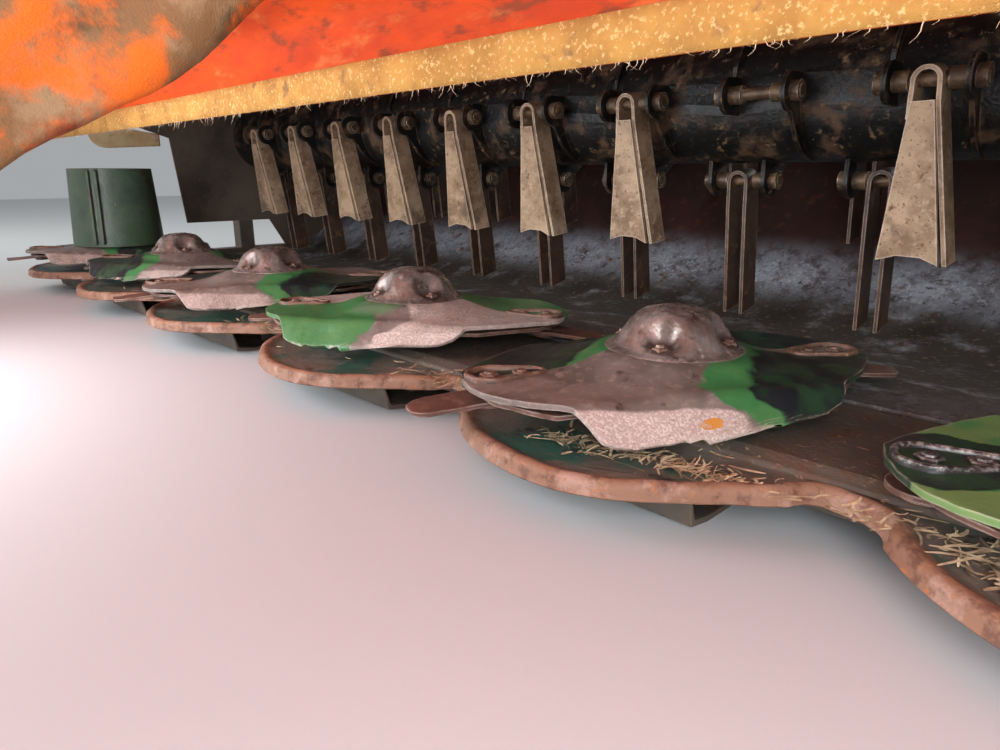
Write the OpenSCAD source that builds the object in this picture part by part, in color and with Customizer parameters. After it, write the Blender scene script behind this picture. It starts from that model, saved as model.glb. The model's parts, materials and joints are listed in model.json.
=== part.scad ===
/* [Discs] */
// Distance between neighbouring disc centres
disc_pitch = 400; // [360:5:440]
// Place of the line of disc centres, front to back
disc_y = -188; // [-400:1:0]
// Half length of a disc plate, to its rounded ends
disc_half = 205; // [180:1:210]
// Half width of a disc plate, to the top of its skirts
disc_half_wide = 108; // [90:1:120]
// Height of the disc plate's rim above the ground
disc_rim_z = 90; // [70:1:110]
// Height of the seat of the cap
disc_seat_z = 108; // [90:1:130]
// Sheet thickness of a disc
disc_sheet = 5; // [3:0.5:8]
// Turn of every second disc at rest, from the row; its neighbours stand at 90 degrees less this
disc_turn = 30; // [0:1:90]
// Radius of the cap over the disc's hub
cap_r = 65; // [60:1:80]
// Height of the cap
cap_h = 43; // [30:1:70]
// Height of the drum of an end disc
drum_h = 176; // [150:1:260]
// Radius of the drum at its foot
drum_foot_r = 102; // [96:1:116]
// Radius of the drum at its top
drum_top_r = 92; // [80:1:110]

/* [Knives] */
// Distance of the knife pin from the disc centre
knife_pin_r = 180; // [160:1:190]
// Reach of the knife tip from the disc centre
knife_tip_r = 257; // [230:1:260]
// Width of a knife
knife_wide = 46; // [40:1:60]
// Thickness of a knife
knife_thick = 4; // [3:0.5:6]

// Reach of the knife carrier plate under a disc
carrier_r = 200; // [192:1:203]
// Thickness of the knife carrier plate
carrier_thick = 4; // [3:0.5:5]

/* [Cutter bar] */
// Front edge of the bar's casing, from the disc line
bar_front = -70; // [-100:1:-40]
// Back edge of the bar's casing, from the disc line
bar_back = 150; // [80:1:200]
// Underside of the bar's casing
bar_low = 26; // [15:1:40]
// Top of the bar's casing
bar_top = 58; // [50:1:70]
// Radius of a stone guard lobe
lobe_r = 211; // [150:1:220]
// Width of the raised rim of the stone guards
rim_wide = 9; // [5:1:14]
// Height of the top of the guard plate
guard_top = 50; // [25:1:52]
// Height of the raised rim above the guard plate
rim_h = 9; // [4:1:14]

// Width of a rear arm of the bar
arm_wide = 44; // [30:1:56]

/* [Rotor] */
// Place of the rotor's axle behind the disc line
rotor_back = 465; // [450:1:560]
// Height of the rotor's axle
rotor_z = 370; // [360:1:450]
// Radius of the rotor tube
tube_r = 85; // [60:1:95]
// Gap between an end of the rotor tube and its side plate
rotor_gap = 20; // [12:1:60]
// Radius on which the tine bolts sit
bolt_circle_r = 110; // [95:1:125]
// Distance between neighbouring tines of a row
tine_pitch = 200; // [150:5:250]
// Length of a tine from its bolt to its tip
tine_len = 204; // [150:1:235]
// Lean of the hanging tines to the rear, in degrees
tine_lean = 7; // [0:1:9]
// Distance between the two lugs of a tine
lug_gap = 84; // [60:1:110]

/* [Body] */
// Distance of a side plate from the centre of the end disc beside it
side_room = 145; // [140:1:165]
// Thickness of a side plate
side_thick = 6; // [4:1:10]
// Thickness of the hood's sheet
hood_sheet = 3; // [2:0.5:5]
// Thickness of the rear pan's sheet
pan_sheet = 4; // [2:0.5:6]
// Room between the tine tips and the rear pan
pan_room = 24; // [15:1:40]
// Height of the middle of the cross beam
beam_z = 850; // [830:5:950]
// Reach of the side plates behind the disc line
side_reach = 900; // [890:5:1000]
// Width of the drive case with its gap to the side plate
case_wide = 100; // [90:1:130]
// Room between the drive case and the front guard's arm
guard_room = 7; // [6:1:30]
// Reach of the front guard ahead of the disc line
guard_reach = 860; // [700:5:900]
// Radius of the front guard's tubes
guard_tube_r = 17; // [10:1:25]
// Half distance between the carrying brackets
hanger_half = 420; // [300:10:700]
// Radius of the carrying brackets' pin holes
hanger_bore_r = 15.5; // [10:0.5:20]
// Gap between a side plate and its parking leg's sleeve
leg_gap = 7; // [5:1:20]
// Place along the row of the fold that hangs in the front canvas
fold_x = 400; // [300:5:500]
// Width of the fold
fold_wide = 44; // [30:2:80]
// Depth of the fold under the front canvas, measured near its front
fold_deep = 392; // [300:4:410]
// Thickness of the canvas
canvas_thick = 3; // [2:0.5:4]

/* [Hidden] */
rotor_y = disc_y + rotor_back;
disc_row = [-3, -2, -1, 0, 1, 2, 3];
side_half = 3 * disc_pitch + side_room;
bar_half = 3 * disc_pitch + lobe_r + 1;
tube_half = side_half - rotor_gap;
leg_half = side_half + side_thick + leg_gap + 27;
foot_in = 22 + leg_gap;
guard_half = side_half + side_thick + case_wide + guard_room + 12;
function turn_at(k) = k % 2 == 0 ? disc_turn : 90 - disc_turn;
rim_low = guard_top - 12;
cap_z = disc_seat_z;
post_top = 136;
drum_lip = (drum_foot_r - 90) * (disc_seat_z - disc_rim_z - 3) / 32 - 0.3;
knife_z = disc_rim_z - 12;
hinge_y = disc_y - 95;
front_y = disc_y - guard_reach;
leg_y = disc_y + 790;
beam_y = disc_y + 330;
gear_x = 3 * disc_pitch;
hood_top = beam_z - 60;
hinge_z = hood_top - 100;
pivot_y = disc_y + side_reach + 20;
pan_r = bolt_circle_r + tine_len + pan_room;
board_end_y = 0.3 - front_y;
// Each tine row: name, angle on the tube, shift along the rotor, kind
tine_rows = [
  ["front", 180, -115, "blade"],
  ["low", 270, -182, "plain"],
  ["back", 0, -45, "plain"],
  ["top", 90, -8, "over"]
];
// The place of a front bolt that has lost its tine
bare_place = 2;
body_red = [0.62, 0.16, 0.08];
dark_paint = [0.09, 0.08, 0.07];
brown_plate = [0.16, 0.11, 0.08];
worn_steel = [0.48, 0.42, 0.36];
rust_steel = [0.36, 0.22, 0.15];
disc_green = [0.16, 0.42, 0.16];
canvas_orange = [0.83, 0.27, 0.08];
steel = [0.55, 0.54, 0.52];

// Lays a flat shape drawn as (front to back, up) across the machine, from x0 to x1.
module across(x0, x1) {
  translate([x0, 0, 0])
    rotate([90, 0, 90])
      linear_extrude(x1 - x0)
        children();
}

// Lays a flat shape drawn as (along the row, up) facing forward, from y0 to y1.
module facing(y0, y1) {
  translate([0, y1, 0])
    rotate([90, 0, 0])
      linear_extrude(y1 - y0)
        children();
}

module box(x0, x1, y0, y1, z0, z1) {
  translate([x0, y0, z0])
    cube([x1 - x0, y1 - y0, z1 - z0]);
}

module rod_x(x0, x1, y, z, r) {
  translate([x0, y, z])
    rotate([0, 90, 0])
      cylinder(h = x1 - x0, r = r, $fn = 48);
}

module cutter_bar() {
  color(rust_steel)
    difference() {
      union() {
        difference() {
          across(-bar_half, bar_half)
            polygon([[disc_y + bar_front, bar_low], [disc_y + bar_front, guard_top + 3],
              [disc_y + bar_front + 16, bar_top], [disc_y + bar_back, bar_top], [disc_y + bar_back, bar_low]]);
          box(-bar_half + 8, bar_half - 8, disc_y + bar_front + 20, disc_y + bar_back - 6, bar_low + 5, bar_top - 6);
        }
        for (k = disc_row)
          translate([k * disc_pitch, disc_y, bar_low + 1])
            cylinder(h = 70 - bar_low, r = 58, $fn = 48);
        for (s = [-1, 1]) {
          box(arm_low(s), arm_low(s) + arm_wide, disc_y + bar_back - 40, disc_y + 740, bar_low, bar_top - 2);
          box(arm_low(s), arm_low(s) + arm_wide, disc_y + 380, disc_y + 425, bar_top - 3, post_top);
        }
      }
      for (k = disc_row)
        translate([k * disc_pitch, disc_y, 42])
          cylinder(h = 40, r = 20.05, $fn = 48);
    }
}

function arm_low(s) = s > 0 ? side_half : -side_half - arm_wide;

module guard_outline(cut) {
  difference() {
    union() {
      translate([-3 * disc_pitch, disc_y - 92 + cut])
        square([6 * disc_pitch, 180 - cut]);
      for (k = disc_row)
        translate([k * disc_pitch, disc_y])
          circle(r = lobe_r - cut, $fn = 96);
    }
    for (k = [-3, -2, -1, 0, 1, 2])
      translate([(k + 0.5) * disc_pitch, disc_y - 125])
        circle(r = 33 + cut, $fn = 64);
    translate([-1600, disc_y + 120])
      square([3200, 400]);
  }
}

module stone_guards() {
  color(rust_steel) {
    difference() {
      translate([0, 0, rim_low])
        linear_extrude(guard_top + rim_h - rim_low)
          guard_outline(0);
      translate([0, 0, guard_top])
        linear_extrude(60)
          guard_outline(rim_wide);
      box(-bar_half - 1, bar_half + 1, disc_y + bar_front, disc_y + lobe_r + 90, 0, 100);
    }
  }
}

module skid_soles() {
  color(rust_steel)
    for (k = disc_row)
      translate([k * disc_pitch, 0, 0])
        difference() {
          across(-100, 100)
            polygon([[disc_y - 165, rim_low], [disc_y - 120, 4], [disc_y - 95, 0], [disc_y + 170, 0],
              [disc_y + 200, 8], [disc_y + 200, bar_low], [disc_y + 196, bar_low], [disc_y + 196, 10],
              [disc_y + 168, 5], [disc_y - 93, 5], [disc_y - 116, 9], [disc_y - 155, rim_low]]);
        }
  color(rust_steel)
    for (k = disc_row, s = [-1, 1])
      box(k * disc_pitch + s * 60 - 4, k * disc_pitch + s * 60 + 4, disc_y - 60, disc_y + 160, 4, bar_low);
}

// The plate from above: each long side has a straight middle and runs back to the rounded ends.
module disc_plan(inset) {
  side = [[-disc_half - 1, 0], [-disc_half + 8, 49], [-disc_half + 37, 84], [-disc_half + 67, disc_half_wide - inset],
    [118, disc_half_wide - inset], [152, 84], [disc_half - 12, 38]];
  polygon(concat([for (p = side) [p[0], -p[1]]], [for (p = side) [-p[0], p[1]]]));
}

module disc_shape() {
  difference() {
    intersection() {
      rotate_extrude($fn = 96)
        polygon([[0, 45], [20, 45], [20, disc_seat_z - 30], [56, disc_seat_z - 30],
          [56, disc_seat_z - disc_sheet], [82, disc_seat_z - disc_sheet], [116, disc_rim_z + 3 - disc_sheet],
          [disc_half, disc_rim_z - disc_sheet], [disc_half, disc_rim_z], [118, disc_rim_z + 3],
          [86, disc_seat_z], [0, disc_seat_z]]);
      linear_extrude(300)
        disc_plan(0);
    }
  }
  for (s = [0, 180])
    rotate([0, 0, s]) {
      translate([0, -disc_half_wide + 4, disc_rim_z + 5])
        rotate([48, 0, 0])
          translate([0, 0, -disc_sheet])
            linear_extrude(disc_sheet)
              polygon([[-138, 0], [118, 0], [104, -14], [30, -27], [-57, -34], [-112, -33]]);
      translate([knife_pin_r, 0, disc_rim_z - 2])
        difference() {
          boss_block(24, 12);
          translate([0, 0, 5])
            boss_block(18, 20);
        }
    }
}

// The oval block over a knife pin, two round ends with a bar between them.
module boss_block(r, h) {
  for (x = [-26, 0])
    translate([x, 0, 0])
      cylinder(h = h, r = r, $fn = 48);
  translate([-26, -r, 0])
    cube([26, 2 * r, h]);
}

module drilled_disc() {
  difference() {
    disc_shape();
    for (s = [-1, 1])
      translate([s * knife_pin_r, 0, disc_rim_z - 20])
        cylinder(h = 60, r = 9.02, $fn = 32);
  }
}

module disc_at(k) {
  translate([k * disc_pitch, disc_y, 0])
    rotate([0, 0, turn_at(k)])
      color(disc_green)
        drilled_disc();
}

module disc_1() disc_at(-3);
module disc_2() disc_at(-2);
module disc_3() disc_at(-1);
module disc_4() disc_at(0);
module disc_5() disc_at(1);
module disc_6() disc_at(2);
module disc_7() disc_at(3);

module cap_at(k) {
  translate([k * disc_pitch, disc_y, cap_z])
    rotate([0, 0, turn_at(k)])
      color(worn_steel)
        difference() {
          rotate_extrude($fn = 72)
            polygon([[0, cap_h - 4], [18, cap_h - 5], [32, cap_h - 9], [41, cap_h - 16], [47, cap_h - 24],
              [cap_r - 15, 10], [cap_r - 7, 0], [cap_r, 0], [cap_r, 4], [cap_r - 5, 8], [cap_r - 10, 13],
              [51, cap_h - 22], [44, cap_h - 13], [34, cap_h - 5], [19, cap_h - 1], [0, cap_h]]);
          for (a = [45, 135, 225, 315])
            rotate([0, 0, a])
              translate([cap_r - 17, 0, 6])
                cylinder(h = 60, r = 10, $fn = 32);
        }
}

module cap_2() cap_at(-2);
module cap_3() cap_at(-1);
module cap_4() cap_at(0);
module cap_5() cap_at(1);
module cap_6() cap_at(2);

module drum_at(k) {
  translate([k * disc_pitch, disc_y, cap_z])
    rotate([0, 0, turn_at(k)])
      color(disc_green) {
        rotate_extrude($fn = 72)
          polygon([[60, 0], [drum_foot_r - 4, 0], [drum_foot_r - 4, -drum_lip], [drum_foot_r, -drum_lip],
            [drum_top_r, drum_h], [26, drum_h], [26, drum_h - 4], [drum_top_r - 4, drum_h - 4],
            [drum_foot_r - 4.5, 4], [60, 4]]);
        for (a = [90, 270], s = [-1, 1])
          rotate([0, 0, a + 14])
            translate([0, s * 9 - 3, 0])
              rotate([90, 0, 0])
                translate([0, 0, -6])
                  linear_extrude(6)
                    polygon([[drum_foot_r - 3, 3], [drum_foot_r + 9, 3], [drum_top_r + 9, drum_h - 6],
                      [drum_top_r - 3, drum_h - 2]]);
      }
}

module drum_1() drum_at(-3);
module drum_7() drum_at(3);

module knives_at(k) {
  translate([k * disc_pitch, disc_y, knife_z])
    rotate([0, 0, turn_at(k)])
      color(worn_steel)
        for (s = [0, 180])
          rotate([0, 0, s]) {
            linear_extrude(knife_thick)
              difference() {
                union() {
                  translate([knife_pin_r, -knife_wide / 2])
                    square([knife_tip_r - 20 - knife_pin_r, knife_wide]);
                  translate([knife_pin_r, 0])
                    circle(r = knife_wide / 2, $fn = 48);
                  translate([knife_tip_r - 23, 0])
                    circle(r = knife_wide / 2, $fn = 48);
                }
                translate([knife_pin_r, 0])
                  circle(r = 9, $fn = 32);
              }
            translate([knife_pin_r, 0, -5])
              cylinder(h = disc_rim_z + 16 - knife_z, r = 9, $fn = 32);
            translate([knife_pin_r, 0, -6])
              cylinder(h = 6, r = 15, $fn = 32);
            translate([0, 0, -6 - carrier_thick])
              linear_extrude(carrier_thick)
                difference() {
                  intersection() {
                    circle(r = carrier_r, $fn = 96);
                    disc_plan(10);
                  }
                  translate([-300, -300])
                    square([600, 300]);
                  circle(r = 64, $fn = 64);
                }
          }
}

module knives_1() knives_at(-3);
module knives_2() knives_at(-2);
module knives_3() knives_at(-1);
module knives_4() knives_at(0);
module knives_5() knives_at(1);
module knives_6() knives_at(2);
module knives_7() knives_at(3);

module drive_shaft() {
  color(steel)
    translate([gear_x, disc_y, 0]) {
      translate([0, 0, cap_z])
        cylinder(h = 632 - cap_z, r = 21, $fn = 48);
      translate([0, 0, cap_z])
        cylinder(h = 26, r = 60, $fn = 64);
      for (z = [355, 500])
        translate([0, 0, z])
          cylinder(h = 60, r = 42, $fn = 48);
    }
}

// Places of one row of tines along the rotor.
function row_x(row, k) = row[2] + k * tine_pitch;
function bolts(row) = [for (k = [-12:12]) if (abs(row_x(row, k)) + lug_gap / 2 + 16 <= tube_half) k];
function tines(row) = [for (k = bolts(row)) if (row[3] != "blade" || k != bare_place) k];
function bolt_y(row) = rotor_y + bolt_circle_r * cos(row[1]);
function bolt_z(row) = rotor_z + bolt_circle_r * sin(row[1]);

module lug_shape() {
  difference() {
    union() {
      translate([tube_r - 10, -24])
        square([bolt_circle_r - tube_r + 10, 48]);
      translate([bolt_circle_r, 0])
        circle(r = 24, $fn = 40);
    }
    translate([bolt_circle_r, 0])
      circle(r = 8.5, $fn = 24);
  }
}

// The root of a lug, which hugs the tube and runs out along it.
module lug_root() {
  polygon(concat(
    [[tube_r - 8, 18], [bolt_circle_r - 2, 22]],
    [for (a = [22:14:78]) (tube_r + 17 * (78 - a) / 56 + 1) * [cos(a), sin(a)]],
    [for (a = [74:-15:14]) (tube_r - 4) * [cos(a), sin(a)]]));
}

module rotor_tube() {
  color(dark_paint) {
    difference() {
      rod_x(-tube_half, tube_half, rotor_y, rotor_z, tube_r);
      rod_x(-tube_half + 12, tube_half - 12, rotor_y, rotor_z, tube_r - 5);
    }
    for (s = [-1, 1])
      rod_x(s > 0 ? tube_half - 2 : -side_half - 60, s > 0 ? side_half + 60 : 2 - tube_half,
        rotor_y, rotor_z, 25);
    for (row = tine_rows, k = bolts(row), s = [-1, 1])
      translate([row_x(row, k) + s * lug_gap / 2 - 3, rotor_y, rotor_z])
        rotate([90, 0, 90])
          linear_extrude(6)
            rotate(row[1]) {
              lug_shape();
              if (s > 0)
                lug_root();
            }
  }
}

module crown(wide, thick, deep) {
  facing(-deep / 2, deep / 2)
    difference() {
      circle(r = wide / 2, $fn = 40);
      circle(r = wide / 2 - thick, $fn = 40);
      translate([-50, -100])
        square([100, 100]);
    }
}

module blade_tine() {
  difference() {
    union() {
      crown(32, 5, 32);
      facing(-16, 20)
        polygon([[11, 0], [16, 0], [17, -24], [44, -tine_len], [39, -tine_len], [12, -24]]);
      across(-16, -11)
        polygon([[-16, 0], [16, 0], [14, -30], [-19, -40]]);
      facing(-21, -15.5)
        polygon([[-12, -21], [12, -21], [36, -tine_len + 1], [17, -tine_len + 9], [-9, -tine_len + 10],
          [-32, -tine_len + 3]]);
    }
    rod_x(-30, 30, 0, 0, 8.2);
  }
}

module plain_tine() {
  difference() {
    union() {
      crown(32, 5, 34);
      for (s = [-1, 1])
        across(s * 13.5 - 2.5, s * 13.5 + 2.5)
          polygon([[-17, 0], [17, 0], [20, -40], [22, -tine_len + 4], [-20, -tine_len], [-19, -40]]);
    }
    rod_x(-30, 30, 0, 0, 8.2);
  }
}

module blade_tines() {
  color(worn_steel)
    for (row = tine_rows, k = tines(row))
      if (row[3] == "blade")
        translate([row_x(row, k), bolt_y(row), bolt_z(row)])
          rotate([tine_lean, 0, 0])
            blade_tine();
}

module plain_tines() {
  color(brown_plate)
    for (row = tine_rows, k = tines(row))
      if (row[3] != "blade")
        translate([row_x(row, k), bolt_y(row), bolt_z(row)])
          rotate([row[3] == "over" ? 90 : tine_lean, 0, 0])
            plain_tine();
}

module tine_bolts() {
  color(steel)
    for (row = tine_rows, k = bolts(row)) {
      rod_x(row_x(row, k) - lug_gap / 2 - 16, row_x(row, k) + lug_gap / 2 + 16, bolt_y(row), bolt_z(row), 8);
      for (s = [-1, 1])
        rod_x(row_x(row, k) + s * (lug_gap / 2 + 9) - 6, row_x(row, k) + s * (lug_gap / 2 + 9) + 6,
          bolt_y(row), bolt_z(row), 13);
      for (s = [-1, 1])
        rod_x(row_x(row, k) + s * 29 - 9, row_x(row, k) + s * 29 + 9, bolt_y(row), bolt_z(row), 12);
    }
}

module rotor_bearings() {
  color(dark_paint)
    for (s = [-1, 1])
      difference() {
        rod_x(s > 0 ? side_half + side_thick : -side_half - side_thick - 34,
          s > 0 ? side_half + side_thick + 34 : -side_half - side_thick, rotor_y, rotor_z, 62);
        rod_x(s * (side_half + 30) - 60, s * (side_half + 30) + 60, rotor_y, rotor_z, 25.05);
      }
}

module side_shape(s) {
  difference() {
    polygon([[disc_y - 130, 640], [disc_y - 60, 480], [disc_y + 60, 414], [disc_y + 206, 366],
      [disc_y + 228, post_top], [disc_y + 480, post_top], [disc_y + 528, bar_top - 2], [disc_y + 740, bar_top - 2],
      [disc_y + side_reach, 260],
      [disc_y + side_reach, hood_top - 90], [disc_y + side_reach - 120, hood_top], [disc_y + 60, hood_top],
      [disc_y - 130, hood_top - 60]]);
    translate([rotor_y, rotor_z])
      circle(r = 40, $fn = 48);
    translate([hinge_y, hinge_z])
      circle(r = 16.05, $fn = 48);
    if (s > 0)
      translate([disc_y + 20, 725])
        circle(r = 46, $fn = 48);
    if (s > 0)
      translate([disc_y + 120, 690])
        circle(r = 30, $fn = 48);
  }
}

module side_plate(s) {
  color(brown_plate) {
    across(s > 0 ? side_half : -side_half - side_thick, s > 0 ? side_half + side_thick : -side_half)
      side_shape(s);
    difference() {
      box(leg_x0(s), leg_x1(s), leg_y - 27, leg_y + 27, 250, 420);
      box(leg_x0(s) + 6.7, leg_x1(s) - 6.7, leg_y - 20.3, leg_y + 20.3, 200, 450);
    }
    box(min(s * (side_half + side_thick), s * (leg_half - 26)), max(s * (side_half + side_thick),
      s * (leg_half - 26)), leg_y - 20, leg_y + 20, 270, 400);
    for (z = [270, 560])
      difference() {
        union() {
          translate([s * (side_half - 20), pivot_y, z])
            cylinder(h = 30, r = 20, $fn = 48);
          box(s * (side_half - 10) - 10, s * (side_half - 10) + 10, pivot_y - 50, pivot_y - 2, z, z + 30);
        }
        translate([s * (side_half - 20), pivot_y, z - 1])
          cylinder(h = 32, r = 12.05, $fn = 48);
      }
  }
}
function leg_x0(s) = s * leg_half - 27;
function leg_x1(s) = s * leg_half + 27;

module side_plate_right() side_plate(-1);
module side_plate_left() side_plate(1);

module parking_leg(s) {
  color(dark_paint) {
    difference() {
      box(s * leg_half - 20, s * leg_half + 20, leg_y - 20, leg_y + 20, 6, 520);
      box(s * leg_half - 16, s * leg_half + 16, leg_y - 16, leg_y + 16, 10, 530);
    }
    box(s > 0 ? leg_half - foot_in : -leg_half - 45, s > 0 ? leg_half + 45 : foot_in - leg_half,
      leg_y - 45, leg_y + 60, 0, 7);
  }
}

module parking_leg_right() parking_leg(-1);
module parking_leg_left() parking_leg(1);

module hood() {
  color(body_red)
    difference() {
      across(-side_half, side_half)
        polygon([[disc_y - 20, 560], [disc_y - 20, hood_top - 90], [disc_y + 60, hood_top],
          [pivot_y - 140, hood_top], [pivot_y + 60, hood_top - 150],
          [pivot_y + 60 - 0.6 * hood_sheet, hood_top - 150 - 0.8 * hood_sheet],
          [pivot_y - 140 - hood_sheet / 3, hood_top - hood_sheet],
          [disc_y + 60 + 0.449 * hood_sheet, hood_top - hood_sheet],
          [disc_y - 20 + hood_sheet, hood_top - 90 - 0.38 * hood_sheet],
          [disc_y - 20 + hood_sheet, 560]]);
      box(gear_x - 95, side_half + 1, disc_y - 40, disc_y + 185, 500, hood_top + 10);
    }
}

module rear_pan() {
  color(rust_steel)
    difference() {
      across(-side_half, side_half)
        polygon(concat(
          [[disc_y + bar_back - 40, bar_top], [disc_y + bar_back + 15, bar_top]],
          [for (a = [-98:8:6]) [rotor_y + (pan_r + pan_sheet) * cos(a), rotor_z + (pan_r + pan_sheet) * sin(a)]],
          [for (a = [6:-8:-98]) [rotor_y + pan_r * cos(a), rotor_z + pan_r * sin(a)]],
          [[disc_y + bar_back + 16, bar_top + pan_sheet], [disc_y + bar_back - 40, bar_top + pan_sheet]]));
      translate([164, rotor_y, rotor_z])
        rotate([212, 0, 0])
          translate([0, 0, pan_r - 20])
            cylinder(h = 40, r = 6, $fn = 24);
    }
}

module cross_beam() {
  color(dark_paint) {
    difference() {
      box(-side_half - 60, side_half + 60, beam_y - 60, beam_y + 60, beam_z - 60, beam_z + 60);
      box(-side_half - 54, side_half + 54, beam_y - 54, beam_y + 54, beam_z - 54, beam_z + 54);
    }
    for (s = [-1, 1])
      across(s > 0 ? side_half + side_thick : -side_half - side_thick - 8,
        s > 0 ? side_half + side_thick + 8 : -side_half - side_thick)
        polygon([[beam_y - 130, 700], [beam_y + 130, 700], [beam_y + 80, beam_z - 58], [beam_y - 80, beam_z - 58]]);
    for (s = [-1, 1], t = [-1, 1])
      across(s * hanger_half + t * 38 - 6, s * hanger_half + t * 38 + 6)
        difference() {
          union() {
            translate([beam_y - 70, beam_z + 59])
              square([140, 60]);
            translate([beam_y, beam_z + 119])
              circle(r = 48, $fn = 48);
          }
          translate([beam_y, beam_z + 125])
            circle(r = hanger_bore_r, $fn = 48);
        }
    box(gear_x - 80, gear_x + 80, disc_y - 60, beam_y - 59, beam_z - 60, beam_z - 48);
    box(gear_x - 6, gear_x + 6, disc_y - 20, beam_y - 59, beam_z - 48, beam_z + 30);
  }
}

module swath_board(s) {
  color(body_red) {
    box(s > 0 ? side_half - 22 : -side_half + 18, s > 0 ? side_half - 18 : -side_half + 22,
      pivot_y + 28, board_end_y, 255, 600);
    for (z = [330, 490])
      box(s * (side_half - 20) - 4, s * (side_half - 20) + 4, pivot_y + 5, pivot_y + 70, z, z + 40);
    translate([s * (side_half - 20), pivot_y, 250])
      cylinder(h = 360, r = 12, $fn = 32);
  }
}

module swath_board_right() swath_board(-1);
module swath_board_left() swath_board(1);

module guard_frame() {
  color(dark_paint) {
    rod_x(-guard_half, guard_half, front_y + 20, 600, guard_tube_r);
    rod_x(-guard_half + 6, guard_half - 6, disc_y - 82, 428, 12);
    for (s = [-1, 1]) {
      across(s > 0 ? guard_half - 12 : -guard_half, s > 0 ? guard_half : -guard_half + 12)
        polygon([[hinge_y + 30, hinge_z - 20], [hinge_y + 30, hinge_z + 20], [hinge_y - 30, hinge_z + 30],
          [front_y + 8, 622], [front_y + 8, 580], [disc_y - 260, 560], [disc_y - 112, 408], [disc_y - 62, 408],
          [disc_y - 62, 600]]);
      rod_x(s > 0 ? side_half - 14 : -guard_half, s > 0 ? guard_half : 14 - side_half, hinge_y, hinge_z, 16);
    }
  }
}

// The fold from the side, under the sheet: its lower line drops towards the front.
module fold_side(inset) {
  top = 606 - fold_deep;
  front = front_y + 23 + guard_tube_r + inset;
  polygon([[disc_y - 176, 480 + inset], [disc_y - 385, top + 137 + inset], [disc_y - 511, top + 51 + inset],
    [disc_y - 600, top + 8 + inset], [disc_y - 700, top + inset], [disc_y - 780, top + 22 + inset],
    [front, top + 50 + inset], [front, 617.6 + 10 * inset], [disc_y - 401, 599.3 + 10 * inset],
    [disc_y - 176, 483.4 + 10 * inset]]);
}

module front_canvas() {
  color(canvas_orange) {
    difference() {
      across(-guard_half + 14, guard_half - 14)
        polygon(concat(
          [[disc_y - 94.2, 352], [disc_y - 94.2, 443.5], [disc_y - 401, 600.8]],
          [for (a = [90:15:180]) [front_y + 20 + 20.3 * cos(a), 600 + 20.3 * sin(a)]],
          [[front_y - 0.3, 230], [front_y - 0.3 + canvas_thick, 230]],
          [for (a = [180:-15:90]) [front_y + 20 + (20.3 - canvas_thick) * cos(a),
            600 + (20.3 - canvas_thick) * sin(a)]],
          [[disc_y - 400, 600.8 - canvas_thick], [disc_y - 94.2 - canvas_thick, 443.5 - canvas_thick],
            [disc_y - 94.2 - canvas_thick, 352]]));
      box(fold_x - fold_wide / 2 + canvas_thick, fold_x + fold_wide / 2 - canvas_thick, front_y + 28 + guard_tube_r,
        disc_y - 200, 450, 700);
    }
    difference() {
      across(fold_x - fold_wide / 2, fold_x + fold_wide / 2)
        fold_side(0);
      across(fold_x - fold_wide / 2 + canvas_thick, fold_x + fold_wide / 2 - canvas_thick)
        fold_side(canvas_thick + 1);
    }
  }
}

module gearbox() {
  color(dark_paint) {
    box(gear_x - 85, gear_x + 85, disc_y - 85, disc_y + 170, 640, hood_top);
    difference() {
      translate([gear_x, disc_y, 606])
        cylinder(h = 35, r = 60, $fn = 48);
      translate([gear_x, disc_y, 600])
        cylinder(h = 60, r = 21.05, $fn = 48);
    }
    rod_x(gear_x + 80, side_half, disc_y + 20, 725, 42);
    rod_x(gear_x + 80, side_half - 4, disc_y + 120, 690, 28);
  }
  color(steel) {
    rod_x(gear_x + 100, side_half + 100, disc_y + 20, 725, 17.5);
    rod_x(gear_x + 100, side_half + 70, disc_y + 120, 690, 17.5);
  }
}

module drive_case_shape(cut) {
  run = [disc_y + 120 - rotor_y, 690 - rotor_z] / norm([disc_y + 120 - rotor_y, 690 - rotor_z]);
  turned = [-run[1], run[0]];
  translate([rotor_y, rotor_z])
    circle(r = 120 - cut, $fn = 64);
  translate([disc_y + 120, 690])
    circle(r = 76 - cut, $fn = 64);
  polygon([[rotor_y, rotor_z] + turned * (112 - cut), [disc_y + 120, 690] + turned * (74 - cut),
    [disc_y + 120, 690] - turned * (74 - cut), [rotor_y, rotor_z] - turned * (112 - cut)]);
}

module drive_case() {
  color(dark_paint) {
    difference() {
      across(side_half + side_thick + 36, side_half + side_thick + case_wide)
        drive_case_shape(0);
      across(side_half + side_thick + 30, side_half + side_thick + case_wide - 4)
        drive_case_shape(4);
    }
    for (p = [[rotor_y + 100, rotor_z + 36], [rotor_y - 36, rotor_z - 98], [disc_y + 150, 746]])
      rod_x(side_half + side_thick, side_half + side_thick + case_wide - 3, p[0], p[1], 12);
  }
}

cutter_bar();
stone_guards();
skid_soles();
disc_1();
disc_2();
disc_3();
disc_4();
disc_5();
disc_6();
disc_7();
cap_2();
cap_3();
cap_4();
cap_5();
cap_6();
drum_1();
drum_7();
knives_1();
knives_2();
knives_3();
knives_4();
knives_5();
knives_6();
knives_7();
drive_shaft();
rotor_tube();
blade_tines();
plain_tines();
tine_bolts();
rotor_bearings();
side_plate_right();
side_plate_left();
hood();
cross_beam();
rear_pan();
swath_board_right();
swath_board_left();
guard_frame();
front_canvas();
gearbox();
drive_case();
parking_leg_right();
parking_leg_left();
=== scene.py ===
import json
import math
import bmesh
import bpy
import numpy as np
from mathutils import Matrix

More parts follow.
